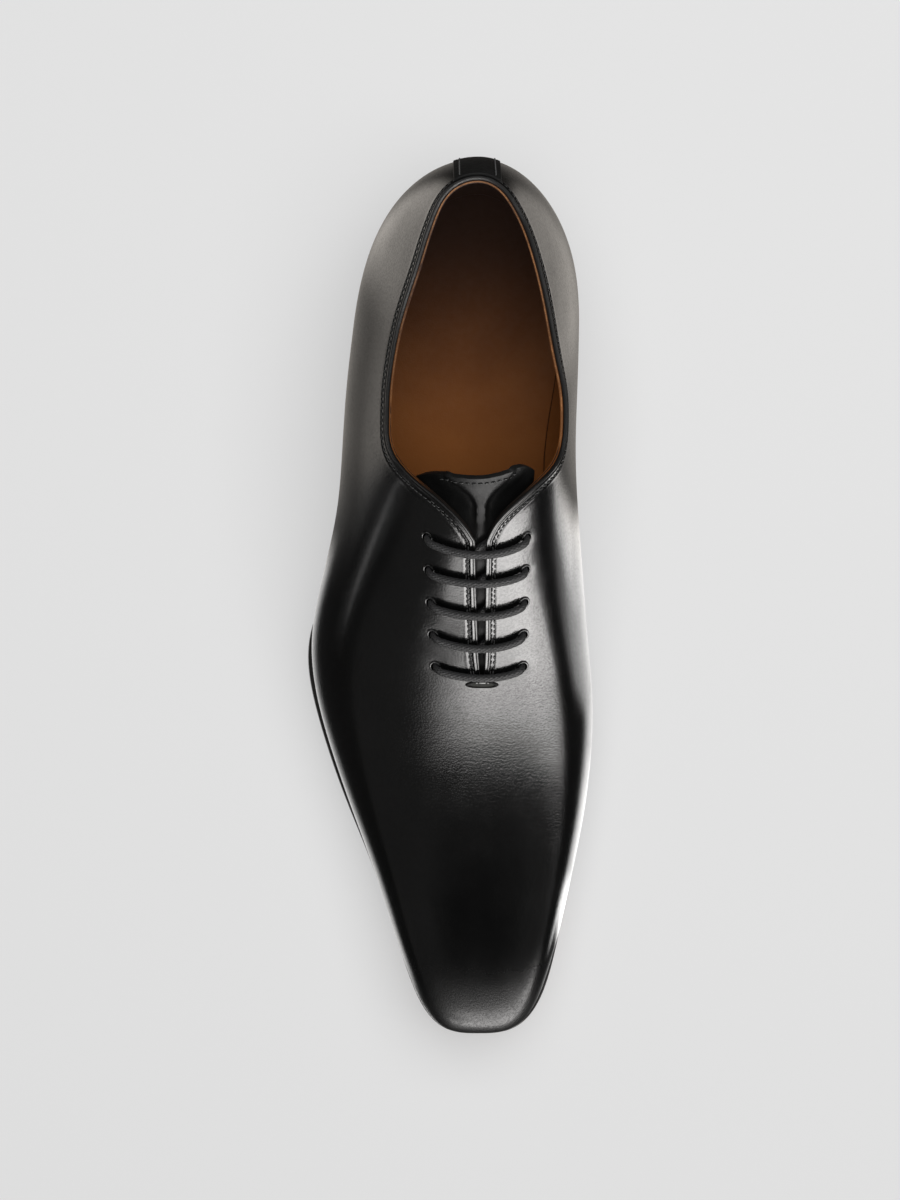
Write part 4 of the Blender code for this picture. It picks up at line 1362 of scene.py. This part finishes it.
def make_lace():
    """A round cord: a circle carried along the route, whose frame leans on the shoe's own directions.

    Its radius has a fine ripple, and each eyelet squeezes it by a quarter.
    """
    rows = lace_path()
    points = lifted(rows[:, 0], rows[:, 1], rows[:, 2])
    apart = np.concatenate([[True], np.linalg.norm(np.diff(points, axis=0), axis=1) > 1e-5])
    points, turned = points[apart], rows[apart, 3]
    run = distance_along(points)
    table = np.column_stack([run, points, turned])
    count = int(run[-1] / 0.0004)
    at = np.linspace(0, run[-1], count)
    centre = np.stack([smooth_curve(table, k, at) for k in (1, 2, 3)], axis=1)
    lean = np.clip(np.interp(at, run, turned), 0, 1)[:, None] * math.pi / 2
    for _ in range(12):
        lean[1:-1] = (lean[:-2] + lean[2:] + lean[1:-1]) / 3
    ahead = unit(np.gradient(centre, axis=0))
    guide = np.cos(lean) * np.array((0.0, 1.0, 0.0)) + np.sin(lean) * np.array((1.0, 0.0, 0.0))
    aside = unit(np.cross(ahead, guide))
    up = np.cross(aside, ahead)
    sides = 16
    turn = np.linspace(0, 2 * math.pi, sides + 1)
    weave = 1 + 0.03 * np.sin(2 * math.pi * at[:, None] / 0.0021 + 4 * turn[None, :-1])
    near = np.linalg.norm(centre[:, None] - eyelet_places()[0], axis=-1).min(axis=1)
    weave = weave * (1 - 0.24 * np.exp(-((near / 0.0032) ** 2)))[:, None]
    ring = centre[:, None] + (LACE_FULL / 2 - 0.00004) * weave[..., None] * (
        aside[:, None] * np.cos(turn[:-1])[None, :, None] + up[:, None] * np.sin(turn[:-1])[None, :, None]
    )
    numbers = np.arange(count * sides).reshape(count, sides)
    around = quads(closed_round(numbers))
    faces = around.tolist() + [numbers[0, ::-1].tolist(), numbers[-1].tolist()]
    mesh = bpy.data.meshes.new("lace_cord")
    mesh.from_pydata(ring.reshape(-1, 3) + SHIFT, [], faces)
    along_v = np.broadcast_to((at / 0.0018)[:, None], (count, sides + 1))
    around_u = np.broadcast_to((turn / (2 * math.pi))[None], (count, sides + 1))
    uv = np.zeros((len(mesh.loops), 2))
    both = corners(np.stack([around_u, along_v], axis=-1))
    uv[: len(around) * 4] = np.stack(both, axis=2).reshape(-1, 2)
    mesh.uv_layers.new(name="around_and_along").data.foreach_set("uv", uv.astype(np.float32).ravel())
    dressed(mesh, "lace_cord", CORD, ("lace",), crease=70)


def make_heel_tab():
    """A strip over the back seam, from the turned edge downward, stitched near its edges.

    A point lies a set distance down the back seam and a set distance across. Its reach is read from the
    seam's length, and its walk from asin(distance across / half width), in eight rounds.
    """
    rows, columns = 48, 31
    down = np.linspace(0, 1, rows)[:, None]
    x = np.linspace(-1, 1, columns)[None, :] * 1.09 * TAB_WIDTH / 2
    reaches = np.linspace(0, 1.5, 601)
    seam = last_point(0.0, reaches)
    run = distance_along(seam)
    side = np.where(x < 0, -1.0, 1.0) + 0 * down
    walk = np.zeros((rows, columns))
    for _ in range(8):
        edges = np.where(x < 0, open_edge(walk, -1), open_edge(walk, 1))
        top = np.interp(edges, reaches, run) + TAB_IN
        reach = np.interp(top + down * (TAB_LENGTH + BAND_WIDTH + 2 * GAP - TAB_IN), run, reaches)
        out = arch(1 - np.clip(reach, 0, 1), FULLNESS[0][1])[0]
        walk = np.arcsin(np.clip(np.abs(x) / (half_at(0.0) * out), 0, 0.9)) * 2 / math.pi
    face = last_point(walk, side * reach) + GAP / 3 * square_to(walk, side * reach)
    skin = Skin()
    skin.cover(skin.grid(face[::-1]))
    obj = skin.piece("heel_tab_calf", SOFT_CALF, ("heel_tab",), turn=False)
    sheet(obj, TAB_THICKNESS, 1, 0.00035)
    rise = TAB_THICKNESS + GAP / 3
    for name, column in (("tab_stitches_lateral", 4), ("tab_stitches_medial", -5)):
        line = face[2:-2, column]
        up = square_to(walk[2:-2, column], side[2:-2, column] * reach[2:-2, column])
        stitch_row(name, line + up * rise, up, GREY_THREAD)


def sole_plan(walk, inset, columns):
    """A grid over the sole's outline: place across, distance along, and the share across from -1 to 1."""
    left, right = (np.stack(sole_outline(walk, side, inset), axis=-1)[:, None] for side in (-1, 1))
    t = np.linspace(-1, 1, columns)[None, :]
    plan = left * (1 - t[..., None]) / 2 + right * (1 + t[..., None]) / 2
    return plan[..., 0], plan[..., 1], t


def stack_layers(skin, layers, bottom_mark=0.0):
    """Joins grids of one shape from bottom to top round their rims, and closes the first and the last."""
    numbers = [skin.grid(layer, 0.0 if number else bottom_mark) for number, layer in enumerate(layers)]
    skin.cover(numbers[0][:, ::-1])
    skin.cover(numbers[-1])
    rims = [np.concatenate([n[:, 0], n[-1, 1:], n[-2::-1, -1], n[0, -2::-1]]) for n in numbers]
    skin.cover(np.stack(rims))


# Profile of the sole's edge from below: how far in, and height above the underside
SOLE_LEVELS = (
    (0.0042, 0.0), (0.0011, 0.0), (0.0005, 0.00012), (0.00016, 0.00045), (0.00002, 0.0011),
    (0.0, 0.0022), (0.00006, 0.0033), (0.0002, 0.0039), (0.00045, 0.0041), (0.00045, 0.0043),
    (0.00025, 0.0045), (0.0003, 0.0048), (0.0006, 0.005),
)


def make_outsole():
    """The sole: its outline at each level of a trimmed edge, which bulges a little and has a fine
    bevelled line above and below.
    """
    layers = []
    for inset, up in SOLE_LEVELS:
        x, along, _ = sole_plan(upper_walks(40, 36, 30, 40, 40), inset, 13)
        layers.append(world(x, along, underside(along) + up))
    skin = Skin()
    stack_layers(skin, layers, 1.0)
    skin.piece("sole", SOLE, ("outsole",), crease=45)


# Profile of the sock from below: how far in, height, and share of the dish
SOCK_LEVELS = (
    (0.0, 0.0, 0),
    (0.0, 0.0018, 0),
    (-0.0014, 0.0030, 0),
    (-0.0012, 0.0034, 0),
    (-0.0008, INSOLE_THICKNESS, 1),
)
SOCK_DISH = 0.0007


def make_insole():
    """The brown sock over the insole, a little dished, and its rim where it turns up the wall.

    The rim is the quadratic curve from the wall, by the corner below it, to the flat: at a share u of the
    way it is wall * (1 - u)^2 + 2 * corner * u * (1 - u) + flat * u^2.
    """
    walk = upper_walks(40, 36, 30, 40, 40)
    inset = SOLE_LEDGE + WALL + GAP / 3

    def bottom(along):
        return sole_top(along) + GAP

    layers = []
    for extra, height, dish in SOCK_LEVELS:
        x, along, t = sole_plan(walk, inset + extra, 41)
        layers.append(world(x, along, bottom(along) + height - SOCK_DISH * dish * (1 - t**2)))
    skin = Skin()
    stack_layers(skin, layers)

    u = np.linspace(0, 1, 10)[None, :, None]
    for side in (-1, 1):
        reach = side * SOCK_REACH + 0 * walk
        wall, normal = last_point(walk, reach), square_to(walk, reach)
        sheets = []
        for deep, rise in ((0.0002, 0.00336), (-0.0004, 0.0028)):
            x, along = sole_outline(walk, side, inset + 0.0001)
            corner = world(x, along, bottom(along) + rise)
            x, along = sole_outline(walk, side, inset + 0.0040)
            flat = world(x, along, bottom(along) + rise)
            ends = [p[:, None] for p in (wall - normal * (WALL + deep), corner, flat)]
            sheets.append(ends[0] * (1 - u) ** 2 + 2 * ends[1] * u * (1 - u) + ends[2] * u**2)
        around = np.concatenate([sheets[0], sheets[1][:, ::-1], sheets[0][:, :1]], axis=1)
        skin.cover(skin.grid(around))
    skin.piece("sock", LINING, ("insole",), crease=45)


def heel_grid(inset, height):
    """A grid over the heel's outline, with a hollow breast at the front."""
    walk = np.concatenate([np.linspace(0, 1, 40)[:-1], walk_at(np.linspace(HEEL_ROUND, HEEL_LENGTH, 8))])
    x, along, t = sole_plan(walk, inset, 25)
    along = along - BREAST_HOLLOW * (1 - t**2) * blend(along, HEEL_LENGTH / 2, HEEL_LENGTH)
    return world(x, along, height(along))


# Profiles from below: how far in, and height of the rubber; height as a share of one lift, and how far in
RUBBER_LEVELS = (
    (0.0006, 0.0),
    (0.0001, 0.0004),
    (0.0, 0.0011),
    (0.0, 0.0052),
    (0.00012, 0.0057),
    (0.0004, TOP_LIFT_THICKNESS),
)
LIFT_LEVELS = (
    (0.0, 0.00022),
    (0.03, 0.00008),
    (0.08, 0.0),
    (0.5, -0.00003),
    (0.92, 0.0),
    (0.97, 0.00008),
)


def make_heel():
    """A rubber top lift and four leather lifts, with a fine groove at each joint.

    A leather level lies at its share of the way from the rubber up to the sole's underside.
    """
    layers = []
    for inset, up in RUBBER_LEVELS:
        layers.append(heel_grid(HEEL_TAPER + inset, lambda along, up=up: up + 0 * along))
    skin = Skin()
    stack_layers(skin, layers)
    skin.piece("rubber_lift", RUBBER, ("top_lift",), crease=45)

    layers = []
    for number in range(LIFT_COUNT):
        for share, deep in LIFT_LEVELS:
            up = (number + share) / LIFT_COUNT

            def height(along, up=up):
                bottom = TOP_LIFT_THICKNESS + GAP / 3
                return bottom + (underside(along) - GAP / 3 - bottom) * up

            layers.append(heel_grid(HEEL_TAPER * (1 - up) + deep, height))
    layers.append(heel_grid(0.0002, lambda along: underside(along) - GAP / 3))
    skin = Skin()
    stack_layers(skin, layers)
    skin.piece("leather_lifts", LIFTS, ("heel_stack",), crease=60)


sole_walk = np.linspace(0, 3, 901)
sole_points = np.concatenate([world(*sole_outline(sole_walk, s), 0.0) for s in (-1, 1)])
sole_box = np.array(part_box("outsole"))
SHIFT = (sole_box[0] + sole_box[1] - sole_points.min(axis=0) - sole_points.max(axis=0)) / 2
SHIFT[2] = 0.0

photo_camera()
bpy.context.scene.view_settings.view_transform = "Standard"
studio()
floor_mesh = bpy.data.meshes.new("floor")
floor_mesh.from_pydata([(-4, -4, 0), (4, -4, 0), (4, 4, 0), (-4, 4, 0)], [], [(0, 1, 2, 3)])
floor = bpy.data.objects.new("floor", floor_mesh)
floor_mesh.materials.append(pale_floor())
bpy.context.scene.collection.objects.link(floor)

CALF = polished_calf()
SOFT_CALF = soft_black()
LINING = brown_lining()
CORD = waxed_cord()
BLACK_THREAD = twisted_thread("black_thread", 0.014, 0.036, 0.36)
GREY_THREAD = twisted_thread("grey_thread", 0.045, 0.110, 0.45)
TACK = tack_thread()
SOLE = inked_edge()
LIFTS = waxed_lifts()
RUBBER = heel_rubber()

make_upper()
stitch_row("edge_stitches", *seam_line(STITCH_IN))
points, normals = seam_line(STITCH_IN - SECOND_ROW)
throat = points[:, 1] < LENGTH / 2 - SLIT_START + 0.014
for side, half in (("lateral", points[:, 0] < SLIT_MIDDLE), ("medial", points[:, 0] > SLIT_MIDDLE)):
    stitch_row("slit_stitches_" + side, points[throat & half], normals[throat & half])
make_eyelet_rims()
make_bar_tack()
make_tongue()
make_lace()
make_heel_tab()
make_outsole()
make_insole()
make_heel()
